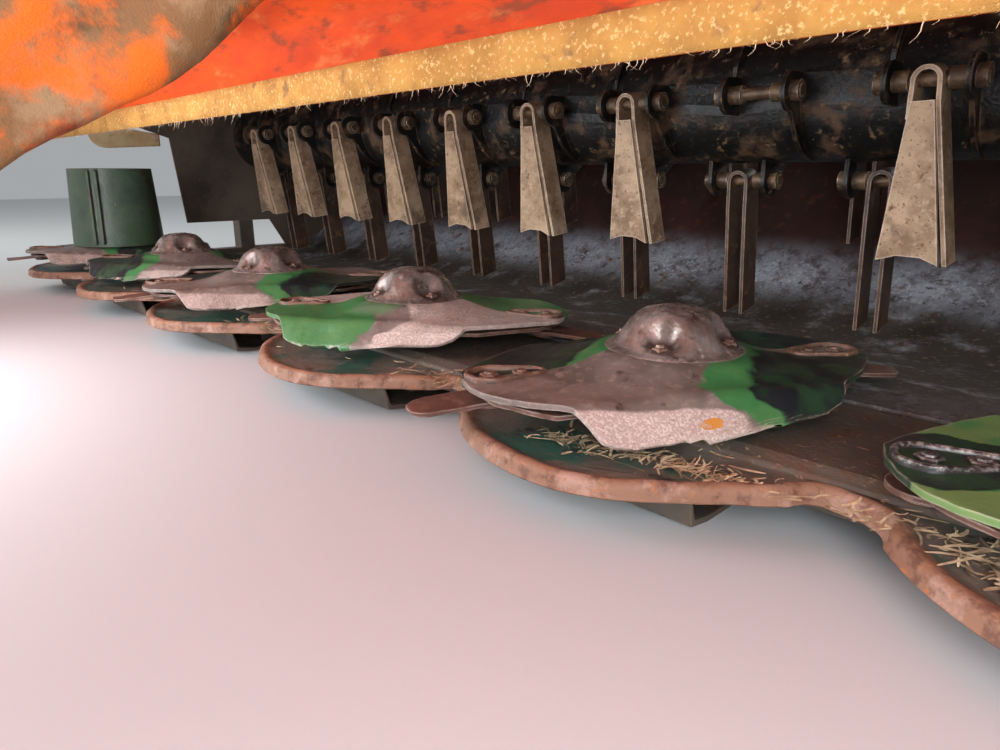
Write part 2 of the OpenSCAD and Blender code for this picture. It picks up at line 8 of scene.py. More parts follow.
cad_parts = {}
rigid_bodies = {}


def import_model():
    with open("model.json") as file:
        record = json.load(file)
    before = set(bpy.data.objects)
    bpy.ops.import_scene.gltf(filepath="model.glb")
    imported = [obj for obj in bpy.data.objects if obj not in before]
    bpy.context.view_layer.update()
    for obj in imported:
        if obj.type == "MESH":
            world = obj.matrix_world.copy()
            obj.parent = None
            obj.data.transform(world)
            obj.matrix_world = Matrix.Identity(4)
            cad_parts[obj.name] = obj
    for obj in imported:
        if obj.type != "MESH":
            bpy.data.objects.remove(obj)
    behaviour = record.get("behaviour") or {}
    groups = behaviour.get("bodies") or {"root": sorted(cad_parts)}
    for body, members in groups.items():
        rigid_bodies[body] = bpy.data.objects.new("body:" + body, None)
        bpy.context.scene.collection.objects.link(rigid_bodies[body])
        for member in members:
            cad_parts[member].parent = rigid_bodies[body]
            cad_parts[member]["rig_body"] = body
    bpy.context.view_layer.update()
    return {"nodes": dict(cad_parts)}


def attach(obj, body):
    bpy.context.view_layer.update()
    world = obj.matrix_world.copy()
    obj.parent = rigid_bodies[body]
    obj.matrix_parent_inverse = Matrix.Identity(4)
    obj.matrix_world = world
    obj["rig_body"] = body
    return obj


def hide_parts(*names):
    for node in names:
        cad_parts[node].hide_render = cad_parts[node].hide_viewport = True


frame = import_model()
nodes = frame["nodes"]

# The camera stands low under the front canvas, ahead of the discs, and looks along the
# cutter bar towards its far right end and slightly down.
eye = (0.7461, -0.760, 0.2696)
heading, dip, roll = math.radians(44.51), math.radians(16.02), math.radians(-0.09)
ahead = np.array([-math.cos(heading), math.sin(heading), 0.0])
across = np.array([math.sin(heading), math.cos(heading), 0.0])
up = ahead * math.sin(dip) + np.array([0, 0, math.cos(dip)])
gaze = ahead * math.cos(dip) - np.array([0, 0, math.sin(dip)])
right = across * math.cos(roll) + up * math.sin(roll)
up = up * math.cos(roll) - across * math.sin(roll)
camera_data = bpy.data.cameras.new("camera")
camera_data.lens = 25.2
camera_data.sensor_width = 36.0
camera_data.clip_start = 0.01
camera = bpy.data.objects.new("camera", camera_data)
bpy.context.scene.collection.objects.link(camera)
camera.matrix_world = Matrix([
    [right[0], up[0], -gaze[0], eye[0]],
    [right[1], up[1], -gaze[1], eye[1]],
    [right[2], up[2], -gaze[2], eye[2]],
    [0, 0, 0, 1]])
bpy.context.scene.camera = camera

# The studio: a plain pale floor, a pale sky all round and soft lights, one of them low
# ahead of the discs where daylight comes in under the front canvas.
floor_mesh = bpy.data.meshes.new("floor")
floor_mesh.from_pydata([(-9, -9, 0), (9, -9, 0), (9, 9, 0), (-9, 9, 0)], [], [(0, 1, 2, 3)])
floor = bpy.data.objects.new("floor", floor_mesh)
bpy.context.scene.collection.objects.link(floor)
floor_paint = bpy.data.materials.new("floor")
floor_paint.use_nodes = True
floor_paint.node_tree.nodes["Principled BSDF"].inputs["Base Color"].default_value = (0.60, 0.62, 0.62, 1)
floor_paint.node_tree.nodes["Principled BSDF"].inputs["Roughness"].default_value = 0.9
floor_mesh.materials.append(floor_paint)
world = bpy.data.worlds.new("sky")
bpy.context.scene.world = world
world.use_nodes = True
world.node_tree.nodes["Background"].inputs["Color"].default_value = (0.93, 0.96, 1.0, 1)
world.node_tree.nodes["Background"].inputs["Strength"].default_value = 0.40
bpy.context.scene.view_settings.view_transform = "Standard"
# Each light: name, place, point that it faces, size, watts, colour
studio_lights = [
    ("key", (-2.6, -3.4, 3.2), (-0.2, 0.0, 0.3), 2.2, 95, (1.0, 0.97, 0.93)),
    ("fill", (3.6, -2.6, 2.4), (0.0, 0.0, 0.5), 2.5, 60, (0.95, 0.97, 1.0)),
    ("back", (1.5, 4.2, 2.8), (0.0, 0.3, 0.4), 2.5, 110, (1.0, 1.0, 1.0)),
    ("under_canvas", (-0.35, -0.98, 0.40), (-0.15, -0.1, 0.10), 0.70, 15, (0.84, 0.93, 1.0)),
    ("under_canvas_near", (0.95, -0.98, 0.40), (0.5, 0.2, 0.22), 0.50, 10, (0.86, 0.94, 1.0)),
    ("far_end", (-2.8, -1.5, 1.5), (-1.2, -0.1, 0.25), 1.6, 16, (0.92, 0.97, 1.0)),
]
for light_name, place, target, size, watts, colour in studio_lights:
    lamp = bpy.data.lights.new(light_name, "AREA")
    lamp.energy, lamp.size, lamp.color = watts, size, colour
    lamp_object = bpy.data.objects.new(light_name, lamp)
    bpy.context.scene.collection.objects.link(lamp_object)
    back = np.array(place, float) - np.array(target, float)
    back /= np.linalg.norm(back)
    side = np.cross([0, 0, 1], back)
    side /= np.linalg.norm(side)
    rise = np.cross(back, side)
    lamp_object.matrix_world = Matrix([
        [side[0], rise[0], back[0], place[0]],
        [side[1], rise[1], back[1], place[1]],
        [side[2], rise[2], back[2], place[2]],
        [0, 0, 0, 1]])
    lamp_object.visible_camera = False


# Stone guards: forged steel shoes in front of the cutter bar, one lobe under each disc,
# with a thick rolled rim; the plate is dished, and its green paint is almost worn off.
def quads(rows, columns, wrap_rows=False, wrap_columns=False):
    """Four-sided faces between neighbouring points of a grid that is stored row by row."""
    i = np.arange(rows if wrap_rows else rows - 1)[:, None]
    j = np.arange(columns if wrap_columns else columns - 1)[None, :]
    i2, j2 = (i + 1) % rows, (j + 1) % columns
    return np.stack([i * columns + j, i2 * columns + j, i2 * columns + j2, i * columns + j2], -1).reshape(-1, 4)


def made(name, skins, body, paint, replaces=(), weld=True, turn_out=True, sharp=32):
    """One object from skins. A skin is (points of a grid, wrap rows, wrap columns), and may carry a
    dictionary of one number for each point. The skins are welded where they meet."""
    points, faces, start, values = [], [], 0, {}
    names = sorted({key for skin in skins if len(skin) > 3 for key in skin[3]})
    for skin in skins:
        grid = np.asarray(skin[0], float)
        rows, columns = grid.shape[:2]
        points.append(grid.reshape(-1, 3))
        faces.append(quads(rows, columns, skin[1], skin[2]) + start)
        for key in names:
            given = skin[3].get(key, 0.0) if len(skin) > 3 else 0.0
            values.setdefault(key, []).append(np.broadcast_to(np.asarray(given, float), (rows, columns)).reshape(-1))
        start += rows * columns
    points, faces = np.concatenate(points), np.concatenate(faces)
    mesh = bpy.data.meshes.new(name)
    mesh.from_pydata(points.tolist(), [], faces.tolist())
    for key in names:
        layer = mesh.attributes.new(key, "FLOAT", "POINT")
        layer.data.foreach_set("value", np.concatenate(values[key]).astype(np.float32))
    if weld:
        shell = bmesh.new()
        shell.from_mesh(mesh)
        bmesh.ops.remove_doubles(shell, verts=shell.verts, dist=2e-5)
        bmesh.ops.dissolve_degenerate(shell, edges=shell.edges, dist=1e-6)
        if turn_out:
            bmesh.ops.recalc_face_normals(shell, faces=shell.faces)
        shell.to_mesh(mesh)
        shell.free()
    mesh.shade_smooth()
    mesh.set_sharp_from_angle(angle=math.radians(sharp))
    obj = bpy.data.objects.new(name, mesh)
    bpy.context.scene.collection.objects.link(obj)
    mesh.materials.append(paint)
    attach(obj, body)
    if replaces:
        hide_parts(*replaces)
    return obj


finest_grain = 0.0008


def finish(name, tones, blotch, coats=(), rough=0.6, metal=0.0, relief=(0.004, 0.0004), specular=0.5, stretch=None):
    """A weathered finish. Two tones mix in blotches of the given size in metres. Each coat over them is
    (colour, size, low, high, roughness, height, where): noise of that size between low and high lays it on,
    and where is None, or ("field", name, low, high), ("up", low, high), ("z", low, high) or ("edge", radius)."""
    paint = bpy.data.materials.new(name)
    paint.use_nodes = True
    tree = paint.node_tree
    shader = tree.nodes["Principled BSDF"]
    place = tree.nodes.new("ShaderNodeTexCoord").outputs["Object"]
    grain = place
    if stretch:
        mapping = tree.nodes.new("ShaderNodeMapping")
        mapping.inputs["Scale"].default_value = [1.0 / factor for factor in stretch]
        tree.links.new(place, mapping.inputs["Vector"])
        grain = mapping.outputs[0]

    def noise(size, shift=0.0, most=7.0):
        node = tree.nodes.new("ShaderNodeTexNoise")
        node.noise_dimensions = "4D"
        node.inputs["W"].default_value = shift
        node.inputs["Scale"].default_value = 1.0 / size
        # Octaves stop at the finest grain that shows
        node.inputs["Detail"].default_value = min(most, max(1.0, math.log2(size / finest_grain)))
        node.inputs["Roughness"].default_value = 0.62
        tree.links.new(grain, node.inputs["Vector"])
        return node.outputs["Fac"]

    def between(value, low, high):
        node = tree.nodes.new("ShaderNodeMapRange")
        node.interpolation_type = "SMOOTHSTEP"
        node.inputs["From Min"].default_value, node.inputs["From Max"].default_value = low, high
        tree.links.new(value, node.inputs["Value"])
        return node.outputs["Result"]

    def maths(kind, a, b):
        node = tree.nodes.new("ShaderNodeMath")
        node.operation = kind
        for socket, value in zip(node.inputs, (a, b)):
            if isinstance(value, (int, float)):
                socket.default_value = value
            else:
                tree.links.new(value, socket)
        return node.outputs[0]

    def mixed(share, a, b):
        node = tree.nodes.new("ShaderNodeMix")
        node.data_type = "RGBA"
        tree.links.new(share, node.inputs[0])
        for socket, value in ((node.inputs[6], a), (node.inputs[7], b)):
            if isinstance(value, tuple):
                socket.default_value = (*value, 1)
            else:
                tree.links.new(value, socket)
        return node.outputs[2]

    colour = mixed(between(noise(blotch), 0.35, 0.65), tones[0], tones[1])
    gloss = maths("ADD", maths("MULTIPLY", noise(blotch * 0.3, shift=3.0, most=3.0), 0.24), rough - 0.12)
    height = maths("MULTIPLY", noise(relief[0], most=3.0), relief[1])
    for order, (tint, size, low, high, matt, raise_by, where) in enumerate(coats):
        share = between(noise(size, shift=7.0 + 3.1 * order), low, high)
        if where is not None and where[0] == "field":
            field = tree.nodes.new("ShaderNodeAttribute")
            field.attribute_name = where[1]
            wobble = maths("MULTIPLY", maths("SUBTRACT", noise(0.02, shift=20.0 + order, most=3.0), 0.5), where[4] if len(where) > 4 else 0.0)
            share = maths("MULTIPLY", share, between(maths("ADD", field.outputs["Fac"], wobble), where[2], where[3]))
        elif where is not None and where[0] in ("up", "z"):
            apart = tree.nodes.new("ShaderNodeSeparateXYZ")
            if where[0] == "up":
                tree.links.new(tree.nodes.new("ShaderNodeNewGeometry").outputs["Normal"], apart.inputs[0])
            else:
                tree.links.new(place, apart.inputs[0])
            share = maths("MULTIPLY", share, between(apart.outputs[2], where[1], where[2]))
        elif where is not None and where[0] == "edge":
            rounded = tree.nodes.new("ShaderNodeBevel")
            rounded.samples = 2
            rounded.inputs["Radius"].default_value = where[1]
            dot = tree.nodes.new("ShaderNodeVectorMath")
            dot.operation = "DOT_PRODUCT"
            tree.links.new(rounded.outputs[0], dot.inputs[0])
            tree.links.new(tree.nodes.new("ShaderNodeNewGeometry").outputs["Normal"], dot.inputs[1])
            share = maths("MULTIPLY", share, between(maths("SUBTRACT", 1.0, dot.outputs["Value"]), 0.004, 0.12))
        colour = mixed(share, colour, tint)
        gloss = maths("ADD", maths("MULTIPLY", gloss, maths("SUBTRACT", 1.0, share)), maths("MULTIPLY", share, matt))
        if raise_by:
            height = maths("ADD", height, maths("MULTIPLY", share, raise_by))
    bump = tree.nodes.new("ShaderNodeBump")
    bump.inputs["Strength"].default_value = 1.0
    bump.inputs["Distance"].default_value = 1.0
    tree.links.new(height, bump.inputs["Height"])
    tree.links.new(bump.outputs[0], shader.inputs["Normal"])
    tree.links.new(colour, shader.inputs["Base Color"])
    tree.links.new(gloss, shader.inputs["Roughness"])
    shader.inputs["Metallic"].default_value = metal
    shader.inputs["Specular IOR Level"].default_value = specular
    return paint


disc_pitch = 0.400
disc_y = -0.188
lobe_r = 0.206
valley_r = 0.033
valley_y = -0.125
guard_top = 0.050


def wander(a, b, seed):
    """Slow unevenness between -1 and 1: a sum of sines of two numbers, of uneven wave lengths."""
    return (np.sin(a * 1.7 + b * 0.9 + seed) + np.sin(a * 3.1 - b * 2.3 + 2.1 * seed)
            + 0.6 * np.sin(a * 6.7 + b * 4.9 + 3.7 * seed) + 0.4 * np.sin(a * 13.1 - b * 9.7 + 1.3 * seed)) / 3.0


def guard_edge():
    """The outline of all lobes: an arc of each lobe's circle, joined by hollow arcs in the valleys.
    Gives the points and the directions that point out of the plate."""
    reach = math.hypot(disc_pitch / 2, valley_y)
    along = (lobe_r ** 2 - valley_r ** 2 + reach ** 2) / (2 * reach)
    half = math.acos(along / lobe_r)
    to_valley = math.atan2(valley_y, disc_pitch / 2)
    lobe_end = to_valley - half
    meet = np.array([lobe_r * math.cos(lobe_end) - disc_pitch / 2, lobe_r * math.sin(lobe_end) - valley_y])
    hollow_start = math.atan2(meet[1], meet[0]) % (2 * math.pi)
    points, normals = [], []
    for k in range(-3, 4):
        first = math.asin(-0.070 / lobe_r) if k == 3 else lobe_end
        start = -math.pi - (math.asin(-0.070 / lobe_r) if k == -3 else lobe_end)
        a = np.linspace(start, first, 64)
        points.append(np.stack([k * disc_pitch + lobe_r * np.cos(a), lobe_r * np.sin(a)], -1))
        normals.append(np.stack([np.cos(a), np.sin(a)], -1))
        if k < 3:
            a = np.linspace(hollow_start, math.pi - hollow_start, 22)[1:-1]
            points.append(np.stack([(k + 0.5) * disc_pitch + valley_r * np.cos(a), valley_y + valley_r * np.sin(a)], -1))
            normals.append(-np.stack([np.cos(a), np.sin(a)], -1))
    return np.concatenate(points), np.concatenate(normals)


edge, outwards = guard_edge()
# Right of its middle a lobe's rim runs back early, as the bar's travel to one side has worn it
beside = (edge[:, 0] + disc_pitch / 2) % disc_pitch - disc_pitch / 2
edge[:, 1] += np.interp(beside, [0.030, 0.068, 0.105, 0.135, 0.160, 0.185, 0.200], [0, 0.006, 0.018, 0.024, 0.018, 0.007, 0]) * (edge[:, 0] < 1.35)
travel = np.concatenate([[0], np.cumsum(np.linalg.norm(np.diff(edge, axis=0), axis=1))])
# Section of the rim and plate: set in from the edge, height
rim_section = np.array([
    [0.060, 0.0400], [0.012, 0.0390], [0.005, 0.0384], [0.0020, 0.0390], [0.0006, 0.0405], [0.0, 0.0430],
    [0.0, 0.0470], [0.0008, 0.0505], [0.0028, 0.0530], [0.0058, 0.0542], [0.0090, 0.0538], [0.0125, 0.0524],
    [0.0165, 0.0508], [0.0210, 0.0499], [0.0260, 0.0494], [0.0320, 0.0490]])
dent = wander(travel * 9, 0, 1.0)
nick = np.clip(wander(travel * 55, 0, 4.0) - 0.55, 0, 1)
rim = np.zeros((len(edge), len(rim_section), 3))
set_in = rim_section[None, :, 0] + 0.0018 * (dent[:, None] + 1) * (rim_section[None, :, 1] > 0.042) + 0.004 * nick[:, None] * (rim_section[None, :, 0] < 0.006)
rim[..., 0] = edge[:, None, 0] - outwards[:, None, 0] * set_in
rim[..., 1] = disc_y + edge[:, None, 1] - outwards[:, None, 1] * set_in
rim[..., 2] = rim_section[None, :, 1] + 0.0010 * wander(travel * 14, 0, 7.0)[:, None] * (rim_section[None, :, 1] > 0.042)
rim[:, 0, 1] = np.minimum(rim[:, 0, 1], disc_y - 0.0702)
rim[:, :, 1] = np.minimum(rim[:, :, 1], disc_y - 0.0702)
worn_rim = np.exp(-((rim_section[None, :, 0] - 0.003) / 0.011) ** 2) * (rim_section[None, :, 1] > 0.0388) * np.ones((len(edge), 1))
inner = rim[:, -1, :]
share = np.linspace(0, 1, 26)[None, :, None]
far = inner.copy()
far[:, 1] = disc_y - 0.0702
plate = inner[:, None, :] * (1 - share) + far[:, None, :] * share
dish = np.sin(np.pi * share[..., 0]) * np.clip((disc_y - 0.0702 - inner[:, None, 1]) / 0.10, 0, 1)
plate[..., 2] = guard_top - 0.0010 - 0.0030 * dish * (1 + 0.4 * wander(plate[..., 0] * 11, plate[..., 1] * 13, 2.0)) + 0.0007 * wander(plate[..., 0] * 45, plate[..., 1] * 40, 5.0) * dish
guard_finish = finish(
    "guard_steel", ((0.230, 0.190, 0.150), (0.120, 0.102, 0.080)), 0.05,
    coats=[
        ((0.042, 0.125, 0.092), 0.075, 0.48, 0.58, 0.42, 0.0001, ("up", 0.4, 0.8)),
        ((0.030, 0.030, 0.028), 0.030, 0.55, 0.66, 0.55, 0.0, ("up", 0.4, 0.8)),
        ((0.210, 0.130, 0.080), 0.012, 0.56, 0.68, 0.80, 0.0001, ("up", 0.5, 0.9)),
        ((0.330, 0.250, 0.160), 0.004, 0.62, 0.72, 0.85, 0.0003, ("up", 0.7, 0.95)),
        ((0.270, 0.140, 0.082), 0.050, 0.00, 0.05, 0.65, 0.0001, ("field", "rim", 0.25, 0.65, 0.3)),
        ((0.150, 0.070, 0.045), 0.014, 0.48, 0.62, 0.70, 0.0002, ("field", "rim", 0.30, 0.70, 0.4)),
        ((0.400, 0.245, 0.180), 0.022, 0.50, 0.66, 0.50, 0.0, ("field", "rim", 0.50, 0.85, 0.4)),
        ((0.400, 0.165, 0.060), 0.006, 0.60, 0.70, 0.80, 0.0001, ("field", "rim", 0.35, 0.75, 0.4)),
    ],
    rough=0.55, relief=(0.003, 0.0005))
made("guard_shoes", [
    (rim, False, False, {"rim": worn_rim}),
    (plate, False, False, {"rim": 0.0})],
    "head", guard_finish, replaces=["stone_guards"], turn_out=True, sharp=40)
# Straw and chaff that the crop has left on the shoes: flat stalks, lying crossed in a few heaps
# Each heap: place along the bar, distance ahead of the disc line, spread along and across, stalks
heaps = [(0.525, 0.026, 0.038, 0.022, 420), (0.488, 0.119, 0.034, 0.009, 120), (0.643, 0.124, 0.034, 0.020, 200),
         (0.404, 0.135, 0.022, 0.012, 110), (0.672, 0.109, 0.040, 0.014, 90), (0.530, 0.118, 0.030, 0.007, 90),
         (0.180, 0.100, 0.050, 0.020, 120), (-0.180, 0.110, 0.060, 0.020, 120), (-0.600, 0.100, 0.060, 0.020, 110)]


def ribbons(name, strip, body, paint):
    """Many thin ribbons as one mesh; strip holds, for each ribbon and step, its two edge points."""
    count, steps = strip.shape[:2]
    base = np.arange(count)[:, None] * steps * 2 + np.arange(steps - 1)[None, :] * 2
    faces = np.stack([base, base + 1, base + 3, base + 2], -1).reshape(-1, 4)
    mesh = bpy.data.meshes.new(name)
    mesh.from_pydata(strip.reshape(-1, 3).tolist(), [], faces.tolist())
    mesh.shade_smooth()
    obj = bpy.data.objects.new(name, mesh)
    bpy.context.scene.collection.objects.link(obj)
    mesh.materials.append(paint)
    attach(obj, body)
    return obj


chance = np.random.default_rng(11)
owner = np.repeat(np.arange(len(heaps)), [heap[4] for heap in heaps])
heap_table = np.array(heaps)[owner]
stalk_mid = np.stack([heap_table[:, 0] + chance.normal(0, 1, len(owner)) * heap_table[:, 2],
                      disc_y - heap_table[:, 1] - chance.normal(0, 1, len(owner)) * heap_table[:, 3]], -1)
stalk_long = chance.gamma(1.8, 0.0065, len(owner)).clip(0.004, 0.042)
stalk_turn = chance.uniform(0, math.pi, len(owner))
pace = np.linspace(-0.5, 0.5, 5)[None, :]
bend = chance.normal(0, 0.5, len(owner))[:, None]
heading_x, heading_y = np.cos(stalk_turn[:, None] + bend * pace), np.sin(stalk_turn[:, None] + bend * pace)
stalk_height = 0.0505 + chance.uniform(0, 0.0045, len(owner))[:, None] + chance.normal(0, 0.0012, len(owner))[:, None] * pace * 2
stalk = np.stack([stalk_mid[:, :1] + stalk_long[:, None] * pace * heading_x,
                  stalk_mid[:, 1:] + stalk_long[:, None] * pace * heading_y, stalk_height], -1)
stalk_half = (chance.uniform(0.0004, 0.0013, len(owner))[:, None] * (1.05 - 4 * np.abs(pace) ** 3))[..., None]
over_plate = (np.hypot((stalk_mid[:, 0] + 0.2) % disc_pitch - 0.2, stalk_mid[:, 1] - disc_y) < 0.180) | (stalk_mid[:, 1] > disc_y - 0.115)
crosswise = np.stack([-heading_y, heading_x, 0.25 * np.ones_like(heading_x)], -1)
stalk_strip = np.stack([stalk - stalk_half * crosswise, stalk + stalk_half * crosswise], 2)[over_plate]
ribbons("guard_straw", stalk_strip, "head",
        finish("straw", ((0.680, 0.520, 0.320), (0.330, 0.220, 0.125)), 0.014, rough=0.85, relief=(0.001, 0.0)))




# Cutter bar: a long welded casing with an arm to the rear at each end, carried on seven
# pressed soles. Brown steel under a skin of dried soil.
def dressed(node, paint, rounding=0.0012, corner=30, segments=2):
    """A copy of a CAD node. Its loose triangles are merged into flat faces and its edges are rounded."""
    shell = bmesh.new()
    shell.from_mesh(nodes[node].data)
    bmesh.ops.remove_doubles(shell, verts=shell.verts, dist=1e-5)
    bmesh.ops.dissolve_limit(shell, angle_limit=math.radians(0.6), verts=shell.verts, edges=shell.edges)
    mesh = bpy.data.meshes.new("dressed_" + node)
    shell.to_mesh(mesh)
    shell.free()
    mesh.shade_smooth()
    mesh.set_sharp_from_angle(angle=math.radians(corner))
    obj = bpy.data.objects.new("dressed_" + node, mesh)
    bpy.context.scene.collection.objects.link(obj)
    bevel = obj.modifiers.new("rounded", "BEVEL")
    bevel.width = rounding
    bevel.segments = segments
    bevel.limit_method = "ANGLE"
    bevel.angle_limit = math.radians(corner)
    mesh.materials.append(paint)
    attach(obj, nodes[node]["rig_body"])
    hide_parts(node)
    return obj


bar_finish = finish(
    "bar_steel", ((0.120, 0.092, 0.066), (0.075, 0.062, 0.050)), 0.06,
    coats=[
        ((0.120, 0.065, 0.038), 0.035, 0.52, 0.66, 0.8, 0.0002, None),
        ((0.250, 0.165, 0.100), 0.010, 0.56, 0.70, 0.9, 0.0006, ("up", 0.5, 0.9)),
        ((0.180, 0.110, 0.070), 0.050, 0.30, 0.70, 0.7, 0.0, ("edge", 0.003)),
    ], rough=0.62, relief=(0.004, 0.0009))
dressed("cutter_bar", bar_finish, 0.003)
soles = dressed("skid_soles", bar_finish, 0.001)
# Worn shoes have let the soles' noses be ground back: what lies ahead of the shoe's root is shortened
nose_y = disc_y - 0.120
at = np.empty(len(soles.data.vertices) * 3)
soles.data.vertices.foreach_get("co", at)
at = at.reshape(-1, 3)
at[:, 1] = np.where(at[:, 1] < nose_y, nose_y + 0.15 * (at[:, 1] - nose_y), at[:, 1])
soles.data.vertices.foreach_set("co", at.reshape(-1).astype(np.float32))


# Discs: pressed steel plates with a turned-down skirt on each long side and an oval boss
# over each knife pin. Green paint, sand-worn to brown steel on the leading parts; near-black and
# dark green painted shade lies over the paint on the skirts and where the plates are in shade.
disc_half = 0.205
fold_v = 0.104
skirt_deep = 0.0355
skirt_turn = math.radians(48)
bend_r = 0.013
bend_reach = bend_r * math.tan(skirt_turn / 2)
flat_v = fold_v - bend_reach
knife_pin_r = 0.180


def turn_at(k):
    """Turn of a disc at rest, in radians: neighbours stand across each other."""
    return math.radians(30 if k % 2 == 0 else 60)


def on_disc(k, points):
    """Points of a disc's own frame, with u along it, v across it and z up, taken to its place."""
    c, s = math.cos(turn_at(k)), math.sin(turn_at(k))
    moved = np.array(points, float)
    moved[..., 0], moved[..., 1] = (k * disc_pitch + c * points[..., 0] - s * points[..., 1],
                                    disc_y + s * points[..., 0] + c * points[..., 1])
    return moved


def disc_height(u, v):
    """Height of the pressed plate: a raised middle, a cone that slopes down from it and an outer part that
    falls slightly; beside the folds the cone runs out to the height of the fold."""
    by_radius = np.interp(np.hypot(u, v), [0, 0.060, 0.068, 0.074, 0.100, 0.112, 0.124, 0.205],
                          [0.108, 0.108, 0.1074, 0.1058, 0.0968, 0.0940, 0.0925, 0.0900])
    near = np.clip((np.abs(v) - 0.070) / (flat_v - 0.070), 0, 1)
    return by_radius * (1 - near) + near * np.clip(by_radius, 0.0925, 0.0950)


def worn_edge(across_by):
    """Place along the disc where the paint starts, for each distance from its long axis."""
    return np.interp(across_by, [0, 0.020, 0.032, 0.060, 0.084, 0.100, 0.112, 0.124, 0.138],
                     [0.062, 0.042, 0.026, 0.000, -0.018, -0.022, -0.010, 0.006, 0.010])


def teardrop(swell, count=56, length=0.040, outer=0.0235, inner=0.0125):
    """A ring of points round two circles joined by straight lines, the large one over the pin at the disc's
    tip and the small one further in: for each direction, the circle that reaches farther in it."""
    a = np.linspace(0, 2 * math.pi, count, endpoint=False) + math.pi / count
    at_pin = np.cos(a) > (inner - outer) / length
    radius = np.where(at_pin, outer, inner) + swell
    return np.stack([radius * np.cos(a) - length * ~at_pin, radius * np.sin(a)], -1)


disc_finish = finish(
    "disc_paint", ((0.235, 0.190, 0.166), (0.135, 0.106, 0.088)), 0.055,
    coats=[
        ((0.310, 0.245, 0.210), 0.010, 0.50, 0.70, 0.50, 0.0, None),
        ((0.062, 0.040, 0.030), 0.018, 0.60, 0.72, 0.65, 0.0, None),
        ((0.050, 0.205, 0.066), 0.040, 0.00, 0.05, 0.38, 0.0001, ("field", "flow", -0.003, 0.003, 0.030)),
        ((0.085, 0.240, 0.075), 0.030, 0.45, 0.70, 0.34, 0.0, ("field", "flow", 0.000, 0.010, 0.030)),
        ((0.150, 0.260, 0.085), 0.040, 0.30, 0.52, 0.36, 0.0, ("field", "lime", 0.2, 0.6, 0.4)),
        # Near-black and then dark green over the green paint at the field's higher values: painted shade
        ((0.012, 0.016, 0.018), 0.040, 0.00, 0.05, 0.42, 0.0001, ("field", "flow", 0.038, 0.050, 0.040)),
        ((0.020, 0.055, 0.026), 0.035, 0.46, 0.60, 0.40, 0.0, ("field", "flow", 0.045, 0.060, 0.040)),
        ((0.055, 0.140, 0.055), 0.022, 0.58, 0.70, 0.40, 0.0, ("field", "flow", 0.060, 0.090, 0.040)),
        ((0.110, 0.200, 0.100), 0.030, 0.00, 0.05, 0.40, 0.0, ("field", "teal", 0.45, 0.75, 0.6)),
        ((0.500, 0.395, 0.345), 0.030, 0.00, 0.05, 0.60, 0.0002, ("field", "sand", 0.40, 0.80, 0.5)),
        ((0.700, 0.600, 0.540), 0.0022, 0.46, 0.62, 0.65, 0.0002, ("field", "sand", 0.35, 0.95, 0.5)),
        ((0.400, 0.260, 0.200), 0.0030, 0.58, 0.70, 0.75, 0.0, ("field", "sand", 0.30, 0.90, 0.5)),
        ((0.640, 0.270, 0.045), 0.010, 0.40, 0.55, 0.80, 0.0001, ("field", "spot", 0.4, 0.6, 0.5)),
        ((0.520, 0.440, 0.360), 0.015, 0.35, 0.60, 0.45, 0.0, ("edge", 0.0022)),
    ], rough=0.50, relief=(0.006, 0.0005))
boss_finish = finish(
    "boss_steel", ((0.230, 0.125, 0.080), (0.120, 0.070, 0.050)), 0.02,
    coats=[
        ((0.032, 0.026, 0.024), 0.012, 0.42, 0.58, 0.5, 0.0, ("z", 0.0985, 0.0955)),
        ((0.380, 0.290, 0.230), 0.006, 0.40, 0.60, 0.45, 0.0, ("edge", 0.0025)),
        ((0.420, 0.260, 0.120), 0.008, 0.58, 0.70, 0.8, 0.0003, None),
    ], rough=0.5, metal=0.2, relief=(0.003, 0.0004))
# The bosses of the near disc: near-black steel as painted shade, paler on their tops and edges
boss_painted_shade_finish = finish(
    "boss_steel_painted_shade", ((0.030, 0.028, 0.027), (0.050, 0.040, 0.034)), 0.02,
    coats=[
        ((0.260, 0.240, 0.220), 0.005, 0.45, 0.62, 0.40, 0.0, ("z", 0.0968, 0.0985)),
        ((0.420, 0.400, 0.380), 0.006, 0.40, 0.60, 0.35, 0.0, ("edge", 0.0015)),
    ], rough=0.35, metal=0.3, relief=(0.003, 0.0004))
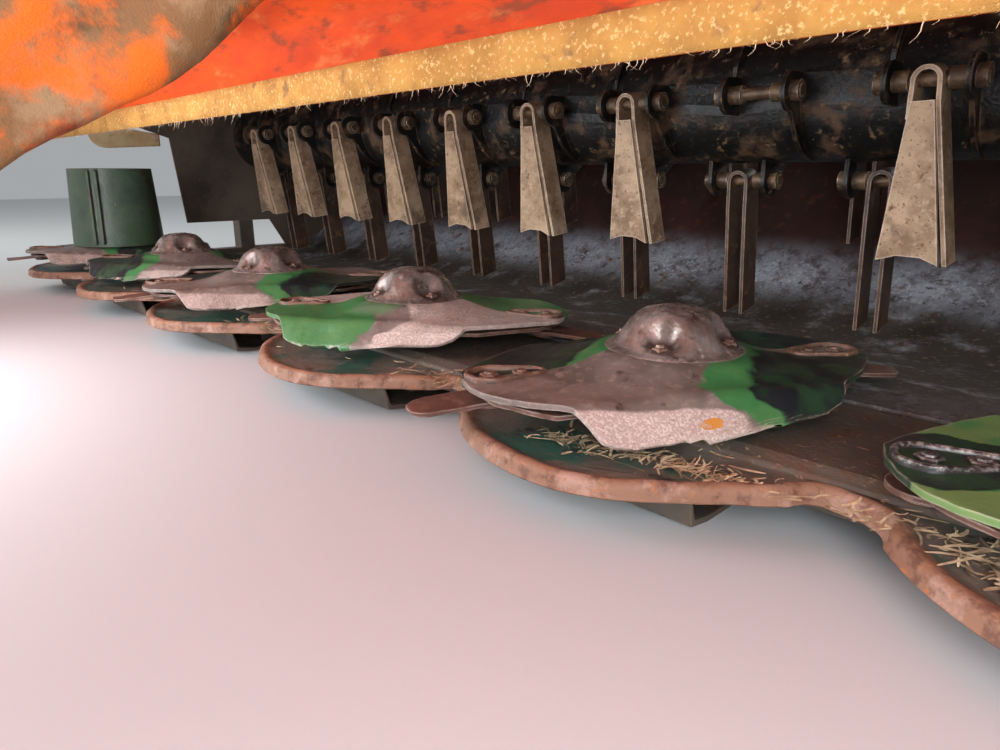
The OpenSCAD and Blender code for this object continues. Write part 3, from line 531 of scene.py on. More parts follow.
for k in range(-3, 4):
    # Rows lie across the disc, along its sheet; columns run from its left outline to its right one
    w_half = np.concatenate([np.linspace(0, flat_v, 30), flat_v + bend_r * np.linspace(0, skirt_turn, 11)[1:],
                             flat_v + bend_r * skirt_turn + np.linspace(0, skirt_deep - bend_reach, 13)[1:]])
    w = np.concatenate([-w_half[:0:-1], w_half])[:, None]
    bent = np.clip(np.abs(w) - flat_v, 0, bend_r * skirt_turn) / bend_r
    straight = np.clip(np.abs(w) - flat_v - bend_r * skirt_turn, 0, None)
    beside = np.interp(np.abs(w), [0, flat_v, flat_v + bend_r * skirt_turn, flat_v + bend_r * skirt_turn + skirt_deep - bend_reach],
                       [0, flat_v, fold_v + bend_reach, fold_v + skirt_deep])
    start_u = np.interp(beside, [0, 0.025, 0.049, 0.068, 0.084, 0.096, 0.104, 0.111, 0.132, 0.136, 0.1385, 0.1395],
                        [-0.2055, -0.2040, -0.1970, -0.1840, -0.1680, -0.1530, -0.1400, -0.1350, -0.1230, -0.1160, -0.1080, -0.0980])
    stop_u = np.interp(beside, [0, 0.023, 0.040, 0.065, 0.084, 0.104, 0.110, 0.120, 0.127, 0.131, 0.135, 0.138, 0.1395],
                       [0.2055, 0.2020, 0.1870, 0.1600, 0.1370, 0.1060, 0.1030, 0.0940, 0.0780, 0.0560, 0.0290, 0.0020, -0.0280])
    part = np.linspace(0, 1, 89)[None, :]
    u = start_u * (1 - part) + stop_u * part
    u = np.where(w < 0, u, -u[:, ::-1])
    v = np.sign(w) * (np.minimum(np.abs(w), flat_v) + bend_r * np.sin(bent) + straight * math.cos(skirt_turn)) + 0 * u
    drop = bend_r * (1 - np.cos(bent)) + straight * math.sin(skirt_turn)
    z = disc_height(u, np.clip(v, -flat_v, flat_v)) - drop
    hang = np.clip(straight / 0.012, 0, 1)
    z = z + 0.0008 * wander(u * 24 + k, v * 27, 3.0 + k) + 0.0010 * wander(u * 30, v * 5, 8.0 + k) * hang
    gap = 0.0012 * wander(u * 34, v * 10, 6.0 + k) * hang
    sign = 1 if k % 2 else -1
    uu = np.where(v < 0, sign * u, -sign * u)
    # How far a point lies past the worn edge of the paint: below zero bare steel, above it green paint, and at the
    # highest values near-black and dark green painted shade
    flow = uu - worn_edge(beside) + 0.005 * wander(uu * 26, v * 30, 11.0 + k)
    scoured = 0.102 + 0.10 * np.clip(uu + 0.13, 0, 0.18)
    sand = np.clip((beside - scoured) / 0.007, 0, 1) * np.clip((0.004 - flow) / 0.012, 0, 1) * (1 if k >= 0 else 0.62)
    # On the turned-down skirts the value is raised, so painted shade lies on them
    flow = flow + 0.6 * np.clip(flow, 0, 0.05) * np.clip((beside - 0.098) / 0.012, 0, 1)
    teal = 0.0 * flow
    spot = 0.0 * flow
    lime = 0.0 * flow
    if k == 0:
        sand = np.maximum(sand, 0.66 * np.clip(-flow / 0.012, 0, 1))
        # On this disc the values stay below those of the painted shade
        flow = np.minimum(flow - 0.035 * np.clip((np.abs(v) - 0.05) / 0.03, 0, 1), 0.034 - 0.02 * np.clip((np.abs(v) - 0.07) / 0.03, 0, 1))
        teal = np.clip(1.4 - np.hypot((u + 0.022) / 0.042, (v + 0.062) / 0.028), 0, 1)
    if k == 1:
        # On this disc the half beyond its middle on the positive side gets dark green painted shade
        flow = np.where((v > 0.015) & (u > 0.0), np.maximum(flow, 0.060), flow)
        spot = np.clip(1.6 - np.hypot((u + 0.030) / 0.010, (beside - 0.1290) / 0.0045), 0, 1) * (v < 0)
    if k == 2:
        # Next to this disc's boss a near-black and dark green patch is painted shadow
        near_boss = np.hypot(u + 0.170, v * 1.15) + 0.006 * wander(u * 40, v * 40, 2.0)
        flow = np.where(near_boss < 0.150, np.interp(near_boss, [0.050, 0.062], [0.062, 0.014]), flow)
        lime = np.clip((0.170 - near_boss) / 0.03, 0, 1) * (near_boss > 0.055)
    plate = made("disc_plate_%d" % (k + 4), [(on_disc(k, np.stack([u + 0 * v, v + gap, z], -1)), False, False,
                 {"flow": flow, "sand": sand, "teal": teal, "spot": spot, "lime": lime})],
                 nodes["disc_%d" % (k + 4)]["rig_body"], disc_finish, ["disc_%d" % (k + 4)], turn_out=False, sharp=60)
    wall = plate.modifiers.new("sheet", "SOLIDIFY")
    wall.thickness = 0.005
    wall.offset = -1.0
    rounded = plate.modifiers.new("rounded", "BEVEL")
    rounded.width = 0.0012
    rounded.segments = 2
    rounded.limit_method = "ANGLE"
    rounded.angle_limit = math.radians(50)
    skins = []
    for end in (1, -1):
        section = [(0.0020, 0.0880), (0.0006, 0.0915), (0.0, 0.0945), (0.0, 0.0975), (-0.0006, 0.0993), (-0.0018, 0.1000),
                   (-0.0034, 0.0999), (-0.0044, 0.0990), (-0.0050, 0.0970), (-0.0056, 0.0938), (-0.0075, 0.0930), (-0.0098, 0.0928)]
        rings = np.array([np.concatenate([teardrop(r), np.full((56, 1), h)], -1) for r, h in section])
        middle = rings[-1:] * np.array([[[1.0, 0.02, 1.0]]])
        rings = np.concatenate([rings, middle])
        rings[..., 2] += 0.0006 * wander(rings[..., 0] * 90, rings[..., 1] * 90, 5.0 + k + end)
        rings[..., :2] = end * (rings[..., :2] + np.array([knife_pin_r, 0]))
        skins.append((on_disc(k, rings), False, True))
        for shift in (0.001, -0.029):
            a = np.arange(6) * math.pi / 3 + 0.3 * end + 9 * shift
            nut = [np.stack([r * np.cos(a), r * np.sin(a), np.full(6, h)], -1) for r, h in
                   [(0.0088, 0.0930), (0.0088, 0.0975), (0.0078, 0.0985), (0.0045, 0.0985), (0.0043, 0.0999), (0.0003, 0.1001)]]
            nut = np.array(nut) + np.array([end * (knife_pin_r + shift), 0, 0])
            skins.append((on_disc(k, nut), False, True))
    made("disc_boss_%d" % (k + 4), skins, nodes["disc_%d" % (k + 4)]["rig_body"], boss_painted_shade_finish if k == 2 else boss_finish,
         sharp=35)
    # The hub under the plate
    hub = np.array([[(r * math.cos(a), r * math.sin(a), h) for a in np.linspace(0, 2 * math.pi, 48, endpoint=False)]
                    for r, h in [(0.0195, 0.045), (0.0195, 0.079), (0.055, 0.079), (0.055, 0.1035)]])
    made("disc_hub_%d" % (k + 4), [(on_disc(k, hub), False, True)], nodes["disc_%d" % (k + 4)]["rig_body"], bar_finish)


# Caps: domed steel covers over the disc hubs, with a rolled rim and four hollows that the
# bolts sit in. Polished by the crop, dented and brown.
cap_finish = finish(
    "cap_steel", ((0.310, 0.262, 0.232), (0.160, 0.122, 0.100)), 0.026,
    coats=[
        ((0.075, 0.042, 0.032), 0.016, 0.56, 0.70, 0.42, 0.0001, None),
        ((0.520, 0.430, 0.380), 0.010, 0.56, 0.70, 0.26, 0.0, None),
        ((0.060, 0.036, 0.028), 0.012, 0.20, 0.50, 0.7, 0.0, ("field", "hollow", 0.55, 1.05, 0.3)),
        ((0.600, 0.450, 0.360), 0.012, 0.35, 0.60, 0.35, 0.0, ("edge", 0.002)),
    ], rough=0.27, metal=0.35, relief=(0.008, 0.0007))
cap_seat = 0.108
bolt_r = 0.050
pocket_turn = math.radians(-42)
nut_finish = finish("nut_steel", ((0.300, 0.190, 0.140), (0.150, 0.095, 0.070)), 0.006,
                    coats=[((0.620, 0.500, 0.400), 0.004, 0.45, 0.60, 0.35, 0.0, ("edge", 0.0015))], rough=0.42, metal=0.5)
for k in range(-2, 3):
    a = np.linspace(0, 2 * math.pi, 96, endpoint=False)[None, :]
    r = np.concatenate([[0.0005], np.linspace(0.003, 0.0600, 40), [0.0618, 0.0632, 0.0642, 0.0650, 0.0653, 0.0650, 0.0638, 0.0612]])[:, None]
    dome = np.interp(r, [0, 0.010, 0.019, 0.027, 0.034, 0.039, 0.044, 0.048, 0.051, 0.0535, 0.056, 0.0585, 0.0610, 0.0640],
                     [0.0430, 0.0428, 0.0420, 0.0403, 0.0376, 0.0344, 0.0297, 0.0245, 0.0195, 0.0150, 0.0112, 0.0086, 0.0070, 0.0058])
    rows = len(r)
    dome[rows - 6:, 0] = [0.0054, 0.0049, 0.0040, 0.0028, 0.0015, 0.0006]
    hollow = np.zeros((rows, a.shape[1]))
    for n in range(4):
        turn = pocket_turn + n * math.pi / 2
        out = r * np.cos(a - turn) - bolt_r
        aside = r * np.sin(a - turn) * 0.80
        away = np.hypot(out, aside)
        hollow = np.maximum(hollow, np.clip((0.0200 - away) / 0.0120, 0, 1))
    hollow = hollow * hollow * (3 - 2 * hollow) * np.clip((0.0610 - r) / 0.0020, 0, 1)
    lump = 0.0030 * wander(r * np.cos(a) * 105, r * np.sin(a) * 105, 9.0 + k)
    z = dome + np.zeros_like(a)
    z = z * (1 - hollow) + hollow * np.minimum(z, 0.0125 + lump)
    keep = (r < 0.060)
    z = z + keep * (0.0011 * wander(a * 2 + 0 * r, r * 70 + 0 * a, 2.0 + k) * np.clip(r / 0.05, 0, 1)
                    + 0.0007 * wander(r * np.cos(a) * 75, r * np.sin(a) * 75, 4.0 + k))
    z = np.clip(z, 0.0, 0.0430)
    grid = np.stack([r * np.cos(a), r * np.sin(a), cap_seat + z], -1)
    made("cap_dome_%d" % (k + 4), [(on_disc(k, grid), False, True, {"hollow": hollow})],
         nodes["cap_%d" % (k + 4)]["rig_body"], cap_finish, ["cap_%d" % (k + 4)], sharp=70)
    skins = []
    for n in range(4):
        turn = pocket_turn + n * math.pi / 2
        b = np.arange(6) * math.pi / 3 + n
        ring = [np.stack([rr * np.cos(b), rr * np.sin(b), np.full(6, h)], -1) for rr, h in
                [(0.0078, 0.1130), (0.0078, 0.1205), (0.0068, 0.1216), (0.0042, 0.1217), (0.0040, 0.1240), (0.0003, 0.1243)]]
        skins.append((on_disc(k, np.array(ring) + np.array([bolt_r * math.cos(turn), bolt_r * math.sin(turn), 0])), False, True))
    made("cap_nuts_%d" % (k + 4), skins, nodes["cap_%d" % (k + 4)]["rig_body"], nut_finish, sharp=35)


# Drums of the two end discs: rolled green sheet, slightly narrower at the top, with two pairs
# of welded ribs that carry the crop inwards. The paint is scuffed to brown along the ribs.
drum_finish = finish(
    "drum_paint", ((0.080, 0.135, 0.084), (0.055, 0.090, 0.064)), 0.060,
    coats=[
        ((0.062, 0.130, 0.058), 0.045, 0.50, 0.66, 0.42, 0.0, None),
        ((0.095, 0.060, 0.044), 0.030, 0.58, 0.68, 0.60, 0.0001, None),
        ((0.190, 0.180, 0.110), 0.010, 0.62, 0.72, 0.70, 0.0002, None),
        ((0.165, 0.110, 0.080), 0.050, 0.00, 0.05, 0.55, 0.0, ("field", "rib", 0.10, 0.40)),
        ((0.210, 0.150, 0.100), 0.020, 0.40, 0.60, 0.50, 0.0, ("edge", 0.003)),
    ], rough=0.42, relief=(0.010, 0.0010))
drum_turn = math.radians(-24)
for k, node in ((-3, "drum_1"), (3, "drum_7")):
    drum = dressed(node, drum_finish, 0.0015)
    place = np.empty(len(drum.data.vertices) * 3)
    drum.data.vertices.foreach_get("co", place)
    place = place.reshape(-1, 3) - np.array([k * disc_pitch, disc_y, 0])
    c, s = math.cos(drum_turn), math.sin(drum_turn)
    place[:, 0], place[:, 1] = c * place[:, 0] - s * place[:, 1], s * place[:, 0] + c * place[:, 1]
    drum.data.vertices.foreach_set("co", (place + np.array([k * disc_pitch, disc_y, 0])).reshape(-1).astype(np.float32))
    from_axis = np.hypot(place[:, 0], place[:, 1])
    # The sheet's own radius at each height is the least of the points that lie there
    heights = np.round(place[:, 2], 3)
    sheet_r = np.array([from_axis[(heights == h) & (from_axis > 0.06)].min(initial=9) for h in heights])
    layer = drum.data.attributes.new("rib", "FLOAT", "POINT")
    layer.data.foreach_set("value", ((from_axis > sheet_r + 0.004) & (place[:, 2] > 0.115)).astype(np.float32))

# Knife carriers and knives: flat spring-steel plates bolted under each disc and short blades
# that swing on pins. Rust brown, ground bright along the cutting edges.
knife_finish = finish(
    "knife_steel", ((0.150, 0.068, 0.046), (0.090, 0.044, 0.030)), 0.045,
    coats=[
        ((0.200, 0.105, 0.074), 0.016, 0.50, 0.64, 0.6, 0.0001, None),
        ((0.300, 0.135, 0.060), 0.010, 0.60, 0.72, 0.85, 0.0003, None),
        ((0.620, 0.500, 0.420), 0.018, 0.34, 0.60, 0.35, 0.0, ("edge", 0.0022)),
    ], rough=0.55, metal=0.15, relief=(0.004, 0.0006))
carrier_z = 0.0830
blade_z = 0.0780
# Swing of the knives on their pins, for a disc's first and second knife: the near right one is folded in
swings = {2: (0, 158)}
for k in range(-3, 4):
    # The carrier: the disc's outline without its skirts, set in by 10 mm
    along_v = np.linspace(-0.094, 0.094, 25)[:, None]
    from_u = -np.interp(np.abs(along_v), [0, 0.049, 0.084, 0.094], [0.196, 0.188, 0.160, 0.148])
    to_u = np.interp(np.abs(along_v), [0, 0.040, 0.065, 0.084, 0.094], [0.196, 0.180, 0.152, 0.128, 0.114])
    part = np.linspace(0, 1, 31)[None, :]
    carrier_u = from_u * (1 - part) + to_u * part
    carrier_u = np.where(along_v < 0, carrier_u, -carrier_u[:, ::-1])
    carrier = np.stack([carrier_u, along_v + 0 * carrier_u, carrier_z + 0.0012 * wander(carrier_u * 22, along_v * 25, 4.0 + k)], -1)
    skins = [(on_disc(k, carrier), False, False)]
    for which, end in enumerate((1, -1)):
        swing = math.radians(swings.get(k, (0, 0))[which])
        # A blade: a strip with two round ends that falls towards its tip and is slightly twisted
        s = np.sin(np.linspace(-math.pi / 2, math.pi / 2, 33))[:, None] * 0.0500 + 0.0265
        t = np.linspace(-1, 1, 9)[None, :]
        from_end = np.minimum(s + 0.0235, 0.0765 - s)
        wide = 0.0232 * np.sqrt(np.clip(1 - (1 - np.clip(from_end / 0.0232, 0, 1)) ** 2, 0, 1)) * (1 - 0.06 * np.clip(wander(s * 60, 0, 1.0 + k), 0, 1))
        far_share = np.clip((s - 0.012) / 0.06, 0, 1)
        blade_x, blade_y = s + 0 * t, t * wide
        blade = np.stack([end * (knife_pin_r + math.cos(swing) * blade_x - math.sin(swing) * blade_y),
                          end * (math.sin(swing) * blade_x + math.cos(swing) * blade_y),
                          blade_z - 0.0035 * far_share - 0.0025 * np.abs(t) * far_share], -1)
        skins.append((on_disc(k, blade), False, False))
    knives = made("knife_set_%d" % (k + 4), skins, nodes["knives_%d" % (k + 4)]["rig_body"], knife_finish,
                  ["knives_%d" % (k + 4)], turn_out=False, sharp=60)
    sheet_steel = knives.modifiers.new("sheet", "SOLIDIFY")
    sheet_steel.thickness = 0.004
    sheet_steel.offset = -1.0
    rounded = knives.modifiers.new("rounded", "BEVEL")
    rounded.width = 0.0009
    rounded.segments = 2
    rounded.limit_method = "ANGLE"
    rounded.angle_limit = math.radians(50)
    a = np.linspace(0, 2 * math.pi, 32, endpoint=False)
    pins = [(on_disc(k, np.array([np.stack([end * knife_pin_r + r * np.cos(a), r * np.sin(a), np.full(32, h)], -1) for r, h in
             [(0.0005, 0.0684), (0.0135, 0.0684), (0.0150, 0.0698), (0.0150, 0.0735), (0.0085, 0.0740), (0.0085, 0.0925)]])), False, True)
            for end in (1, -1)]
    made("knife_pins_%d" % (k + 4), pins, nodes["knives_%d" % (k + 4)]["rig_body"], knife_finish)
dressed("drive_shaft", finish(
    "shaft_steel", ((0.090, 0.070, 0.055), (0.050, 0.040, 0.034)), 0.03,
    coats=[((0.200, 0.120, 0.070), 0.014, 0.56, 0.68, 0.8, 0.0003, None)], rough=0.5, metal=0.4), 0.002)


# Rotor: a thick rolled tube with welded pairs of lugs in four rows. Black paint under oily
# brown dust, with dried crop stuck to it.
rotor_finish = finish(
    "rotor_paint", ((0.010, 0.009, 0.008), (0.006, 0.006, 0.006)), 0.050,
    coats=[
        ((0.115, 0.062, 0.032), 0.045, 0.50, 0.66, 0.75, 0.0002, None),
        ((0.220, 0.130, 0.062), 0.014, 0.58, 0.72, 0.85, 0.0006, None),
        ((0.340, 0.240, 0.150), 0.004, 0.66, 0.74, 0.85, 0.0006, None),
        ((0.200, 0.110, 0.060), 0.020, 0.40, 0.62, 0.6, 0.0, ("edge", 0.003)),
    ], rough=0.42, relief=(0.007, 0.0014))
dressed("rotor_tube", rotor_finish, 0.0012, segments=1)
bolt_finish = finish(
    "bolt_steel", ((0.180, 0.110, 0.062), (0.085, 0.052, 0.034)), 0.020,
    coats=[
        ((0.300, 0.180, 0.085), 0.010, 0.54, 0.66, 0.8, 0.0003, None),
        ((0.750, 0.620, 0.480), 0.012, 0.40, 0.58, 0.3, 0.0, ("edge", 0.0022)),
    ], rough=0.45, metal=0.35, relief=(0.004, 0.0005))
dressed("tine_bolts", bolt_finish, 0.0010, segments=1)
tine_finish = finish(
    "tine_steel", ((0.540, 0.365, 0.225), (0.250, 0.145, 0.080)), 0.055,
    coats=[
        ((0.520, 0.360, 0.240), 0.010, 0.52, 0.66, 0.6, 0.0001, None),
        ((0.200, 0.100, 0.055), 0.012, 0.58, 0.70, 0.7, 0.0002, None),
        ((0.150, 0.075, 0.045), 0.0030, 0.60, 0.70, 0.8, 0.0003, None),
        ((0.170, 0.100, 0.060), 0.090, 0.50, 0.62, 0.7, 0.0, ("z", 0.30, 0.22)),
        ((0.850, 0.700, 0.560), 0.030, 0.28, 0.50, 0.35, 0.0, ("edge", 0.0024)),
    ], rough=0.48, metal=0.15, relief=(0.003, 0.0006))
dressed("blade_tines", tine_finish, 0.0010)
plain_tine_finish = finish(
    "plain_tine_steel", ((0.105, 0.055, 0.034), (0.060, 0.034, 0.022)), 0.040,
    coats=[
        ((0.190, 0.100, 0.055), 0.016, 0.54, 0.66, 0.8, 0.0002, None),
        ((0.620, 0.450, 0.340), 0.020, 0.32, 0.56, 0.35, 0.0, ("edge", 0.0024)),
    ], rough=0.5, metal=0.1, relief=(0.003, 0.0006))
dressed("plain_tines", plain_tine_finish, 0.0012, segments=1)

# Side plates and the rotor's bearings: thick steel sheet that closes the ends of the housing,
# painted dark brown and powdered with dry soil.
side_finish = finish(
    "side_paint", ((0.040, 0.036, 0.034), (0.065, 0.055, 0.048)), 0.080,
    coats=[
        ((0.130, 0.094, 0.066), 0.220, 0.38, 0.54, 0.80, 0.0001, None),
        ((0.110, 0.078, 0.055), 0.030, 0.50, 0.66, 0.75, 0.0001, None),
        ((0.200, 0.145, 0.100), 0.012, 0.60, 0.72, 0.85, 0.0004, None),
        ((0.230, 0.120, 0.065), 0.020, 0.42, 0.62, 0.7, 0.0, ("edge", 0.003)),
    ], rough=0.5, relief=(0.012, 0.0010))
for node in ("side_plate_right", "side_plate_left"):
    dressed(node, side_finish, 0.0015)
dressed("rotor_bearings", rotor_finish, 0.003)

# Rear pan: one long sheet rolled round the rotor's rear, its paint scoured off low down where
# the crop runs over it; rust red above.
pan_finish = finish(
    "pan_steel", ((0.070, 0.030, 0.024), (0.046, 0.026, 0.022)), 0.070,
    coats=[
        ((0.330, 0.350, 0.380), 0.030, 0.26, 0.58, 0.40, 0.0, ("z", 0.165, 0.105)),
        ((0.480, 0.500, 0.530), 0.0060, 0.50, 0.66, 0.38, 0.0001, ("z", 0.150, 0.095)),
        ((0.050, 0.040, 0.036), 0.0100, 0.56, 0.68, 0.70, 0.0002, ("z", 0.165, 0.090)),
        ((0.160, 0.060, 0.036), 0.024, 0.56, 0.70, 0.80, 0.0002, None),
        ((0.052, 0.041, 0.031), 0.050, 0.24, 0.50, 0.80, 0.0002, ("z", 0.092, 0.050)),
        ((0.240, 0.185, 0.120), 0.009, 0.56, 0.70, 0.85, 0.0004, ("z", 0.070, 0.056)),
    ], rough=0.5, relief=(0.006, 0.0006))
dressed("rear_pan", pan_finish, 0.0010)

# Hood, cross beam, gearbox, drive case, rear boards and parking legs: the housing over the
# rotor and what drives and carries it, in the maker's red and black paint.
hood_finish = finish(
    "hood_paint", ((0.420, 0.075, 0.030), (0.360, 0.060, 0.026)), 0.120,
    coats=[
        ((0.160, 0.075, 0.045), 0.060, 0.60, 0.72, 0.80, 0.0001, None),
        ((0.300, 0.220, 0.150), 0.020, 0.60, 0.74, 0.90, 0.0003, ("up", 0.4, 0.9)),
        ((0.250, 0.090, 0.040), 0.015, 0.40, 0.60, 0.75, 0.0, ("edge", 0.003)),
    ], rough=0.38, relief=(0.030, 0.0008))
frame_finish = finish(
    "frame_paint", ((0.028, 0.026, 0.025), (0.045, 0.038, 0.034)), 0.090,
    coats=[
        ((0.110, 0.066, 0.042), 0.040, 0.58, 0.70, 0.80, 0.0002, None),
        ((0.220, 0.165, 0.110), 0.014, 0.58, 0.72, 0.90, 0.0004, ("up", 0.4, 0.9)),
        ((0.230, 0.120, 0.065), 0.018, 0.42, 0.62, 0.75, 0.0, ("edge", 0.003)),
    ], rough=0.45, relief=(0.012, 0.0008))
dressed("hood", hood_finish, 0.0010)
for node in ("swath_board_right", "swath_board_left"):
    dressed(node, hood_finish, 0.0012)
for node in ("cross_beam", "gearbox", "drive_case", "parking_leg_right", "parking_leg_left", "guard_frame"):
    dressed(node, frame_finish, 0.0020)


# Front canvas: one sheet of orange rubber-coated cloth, laced over the guard's tubes and left
# to hang. Its inner edge has a wide ochre hem with frayed threads.
front_y = disc_y - 0.860
guard_half = 1.470
canvas_line = [(disc_y - 0.0955, 0.3520), (disc_y - 0.0957, 0.3900), (disc_y - 0.0960, 0.4340), (disc_y - 0.0990, 0.4440),
               (disc_y - 0.2500, 0.5210), (disc_y - 0.3950, 0.5950), (disc_y - 0.4100, 0.6010), (disc_y - 0.6200, 0.6080),
               (front_y + 0.0200, 0.6196)]
for degrees in range(100, 181, 16):
    canvas_line.append((front_y + 0.020 + 0.0196 * math.cos(math.radians(degrees)), 0.600 + 0.0196 * math.sin(math.radians(degrees))))
canvas_line += [(front_y + 0.0010, 0.5300), (front_y + 0.0010, 0.4000), (front_y + 0.0012, 0.2310)]
canvas_line = np.array(canvas_line)
run = np.concatenate([[0], np.cumsum(np.linalg.norm(np.diff(canvas_line, axis=0), axis=1))])
down = np.linspace(0, run[-1], 106)
line_y, line_z = np.interp(down, run, canvas_line[:, 0]), np.interp(down, run, canvas_line[:, 1])
for smooth in range(3):
    line_y[1:-1] = (line_y[:-2] + 2 * line_y[1:-1] + line_y[2:]) / 4
    line_z[1:-1] = (line_z[:-2] + 2 * line_z[1:-1] + line_z[2:]) / 4
fold_x, fold_half = 0.400, 0.0205
left_x = np.linspace(-guard_half + 0.0145, fold_x - fold_half, 180)
right_x = np.linspace(fold_x + fold_half, guard_half - 0.0145, 100)
turn = np.linspace(0, math.pi, 54)[1:-1]
# Across the fold the sheet goes down and up again on a rounded line; elsewhere it is nearly flat
canvas_x = np.concatenate([left_x, fold_x - fold_half * np.sign(np.cos(turn)) * np.abs(np.cos(turn)) ** 0.6, right_x])
fold_share = np.concatenate([0 * left_x, np.sin(turn) ** 0.6, 0 * right_x])
fold_line = np.interp(line_y, [front_y + 0.042, disc_y - 0.780, disc_y - 0.700, disc_y - 0.600, disc_y - 0.511, disc_y - 0.385, disc_y - 0.180],
                      [0.268, 0.240, 0.219, 0.226, 0.268, 0.354, 0.482])
sheet = np.zeros((len(down), len(canvas_x), 3))
sheet[..., 0] = canvas_x[None, :]
slack = np.clip(np.sin(math.pi * np.clip((down - 0.09) / 0.72, 0, 1)), 0, 1)[:, None] + 0.5 * np.clip((down - 0.95) / 0.3, 0, 1)[:, None]
ripple = wander(canvas_x[None, :] * 6, down[:, None] * 5, 3.0) + 0.4 * wander(canvas_x[None, :] * 21, down[:, None] * 9, 5.0)
crease = 0.0016 * wander(canvas_x[None, :] * 40 + down[:, None] * 14, down[:, None] * 34, 7.0)
sheet[..., 1] = line_y[:, None] + 0.004 * ripple * np.clip((down[:, None] - 0.95) / 0.2, 0, 1)
sheet[..., 2] = line_z[:, None] - 0.010 * slack * (1.2 + ripple) * (down[:, None] < 0.90) + crease * slack
fold_deep = np.clip(sheet[:, len(left_x) - 1, 2] - fold_line, 0, None) * (line_y > front_y + 0.040) * (line_y < disc_y - 0.180) * (down < 0.95)
sheet[..., 2] -= fold_deep[:, None] * fold_share[None, :]
billow = 0.010 * wander(line_y[:, None] * 9 + 0 * fold_share, sheet[..., 2] * 12, 1.0) + 0.004 * wander(line_y[:, None] * 34 + 0 * fold_share, sheet[..., 2] * 30, 4.0)
sheet[..., 0] += np.clip(fold_deep[:, None] * fold_share[None, :] / 0.08, 0, 1) * np.clip(billow, -0.009, 0.009)
canvas_finish = finish(
    "canvas_cloth", ((0.660, 0.078, 0.010), (0.430, 0.046, 0.012)), 0.060,
    coats=[
        ((0.240, 0.050, 0.020), 0.016, 0.54, 0.68, 0.8, 0.0, None),
        ((0.560, 0.150, 0.040), 0.050, 0.54, 0.66, 0.7, 0.0, None),
        # On the fold: brown and tan dirt smears, and a dark brown coat that is painted shade in the fold
        ((0.240, 0.135, 0.062), 0.100, 0.38, 0.52, 0.75, 0.0, ("field", "smear", 0.2, 0.8, 0.3)),
        ((0.330, 0.215, 0.115), 0.026, 0.50, 0.64, 0.80, 0.0001, ("field", "smear", 0.2, 0.8, 0.3)),
        ((0.120, 0.080, 0.042), 0.030, 0.56, 0.68, 0.75, 0.0, ("field", "smear", 0.2, 0.8, 0.3)),
        ((0.760, 0.150, 0.020), 0.060, 0.50, 0.60, 0.60, 0.0, ("field", "smear", 0.2, 0.8, 0.3)),
    ], rough=0.75, relief=(0.0012, 0.0004), specular=0.12, stretch=(3.0, 1.0, 1.0))
# The fold's depth: it lays the dirt smears and the painted shade into the fold
smear = np.clip((fold_deep[:, None] * fold_share[None, :] - 0.015) / 0.06, 0, 1)
canvas = made("canvas_sheet", [(sheet, False, False, {"smear": smear})], nodes["front_canvas"]["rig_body"], canvas_finish,
              ["front_canvas"], weld=True, turn_out=False, sharp=80)
cloth = canvas.modifiers.new("cloth", "SOLIDIFY")
cloth.thickness = 0.0022
cloth.offset = 0.0
hem_finish = finish(
    "hem_cloth", ((0.560, 0.300, 0.078), (0.400, 0.205, 0.055)), 0.050,
    coats=[
        ((0.740, 0.480, 0.200), 0.004, 0.54, 0.68, 0.8, 0.0001, None),
        ((0.250, 0.140, 0.060), 0.030, 0.58, 0.70, 0.85, 0.0, None),
    ], rough=0.9, relief=(0.0010, 0.0005), specular=0.15)
hem_line = down[down < 0.040]
hem = sheet[:len(hem_line)].copy()
hem[..., 1] -= 0.0020
hem_object = made("canvas_hem", [(hem, False, False)], nodes["front_canvas"]["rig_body"], hem_finish, turn_out=False, sharp=80)
hem_cloth = hem_object.modifiers.new("cloth", "SOLIDIFY")
hem_cloth.thickness = 0.0016
hem_cloth.offset = 0.0
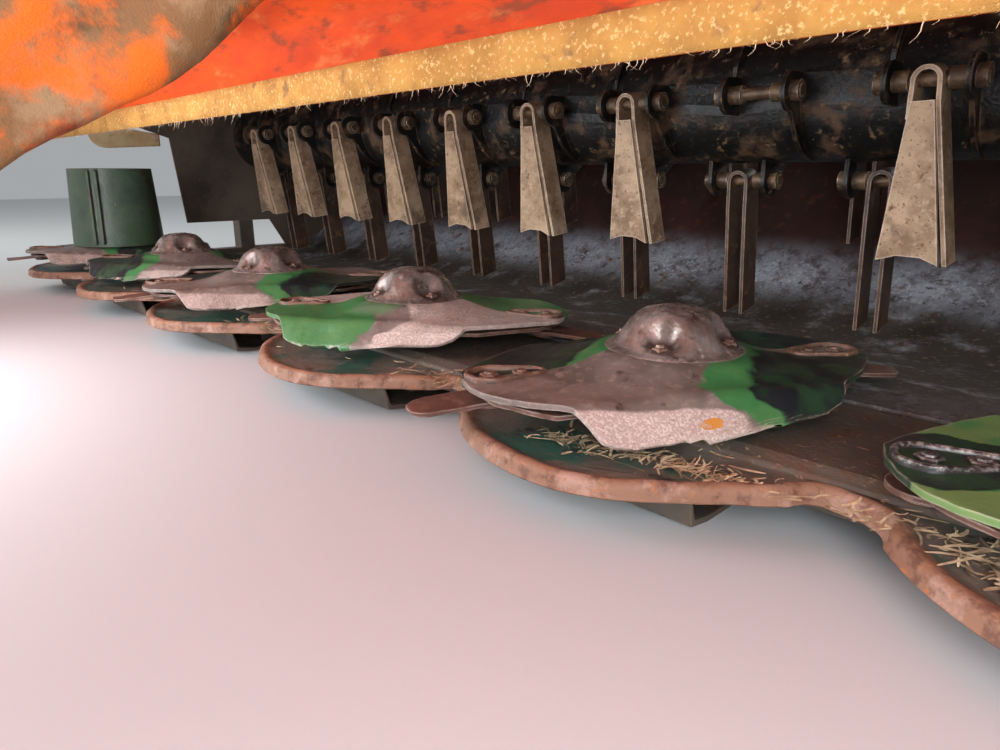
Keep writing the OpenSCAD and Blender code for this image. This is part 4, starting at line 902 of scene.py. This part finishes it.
# Frayed threads along the hem's lower edge, each a thin ribbon of four steps
seeds = np.random.default_rng(7)
count = 900
thread_x = seeds.uniform(-guard_half + 0.02, guard_half - 0.02, count)
long = seeds.gamma(1.6, 0.0022, count).clip(0.001, 0.014)
lean = seeds.normal(0.0, 0.9, count)
step = np.linspace(0, 1, 5)[None, :]
centre = np.stack([thread_x[:, None] + long[:, None] * step * np.sin(lean[:, None]) + 0.002 * np.sin(step * 5 + lean[:, None] * 3) * step,
                   disc_y - 0.0975 + seeds.normal(0, 0.0006, count)[:, None] - 0.003 * step ** 2 * np.cos(lean[:, None] * 2),
                   0.3530 - long[:, None] * step * np.abs(np.cos(lean[:, None] * 0.6))], -1)
half = 0.00035 * (1.2 - step)[..., None] * np.ones((count, 1, 1))
strip = np.stack([centre - half * np.array([1.0, 0.4, 0]), centre + half * np.array([1.0, 0.4, 0])], 2)
thread_finish = finish("thread", ((0.700, 0.560, 0.380), (0.560, 0.400, 0.230)), 0.010, rough=0.9, relief=(0.001, 0.0))

threads = ribbons("hem_threads", strip, nodes["front_canvas"]["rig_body"], thread_finish)
# Behind the hem's far end a pale rubber tongue hangs on the outside of the far side plate
tongue_run = np.linspace(0, 1, 30)[:, None]
tongue_s = np.linspace(-1, 1, 11)[None, :]
tongue_half = 0.0290 * np.sqrt(np.clip(1 - (1 - np.clip(tongue_run / 0.22, 0, 1)) ** 2, 0, 1)) * (1 - 0.62 * np.clip(tongue_run - 0.25, 0, 1))
tongue = np.stack([-1.3610 + 0.004 * np.sin(tongue_run * 5) + 0 * tongue_s,
                   -0.1799 + (-0.0014 - -0.1799) * tongue_run + 0 * tongue_s,
                   0.3680 + (0.3604 - 0.3680) * tongue_run + tongue_half * tongue_s], -1)
tongue_finish = finish("tongue_rubber", ((0.780, 0.560, 0.320), (0.680, 0.440, 0.220)), 0.030,
                       coats=[((0.420, 0.250, 0.110), 0.015, 0.56, 0.70, 0.8, 0.0, None)], rough=0.8, relief=(0.0012, 0.0003))
tongue_object = made("end_tongue", [(tongue, False, False)], nodes["side_plate_right"]["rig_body"], tongue_finish, turn_out=False, sharp=80)
tongue_sheet = tongue_object.modifiers.new("sheet", "SOLIDIFY")
tongue_sheet.thickness = 0.004
tongue_sheet.offset = 0.0
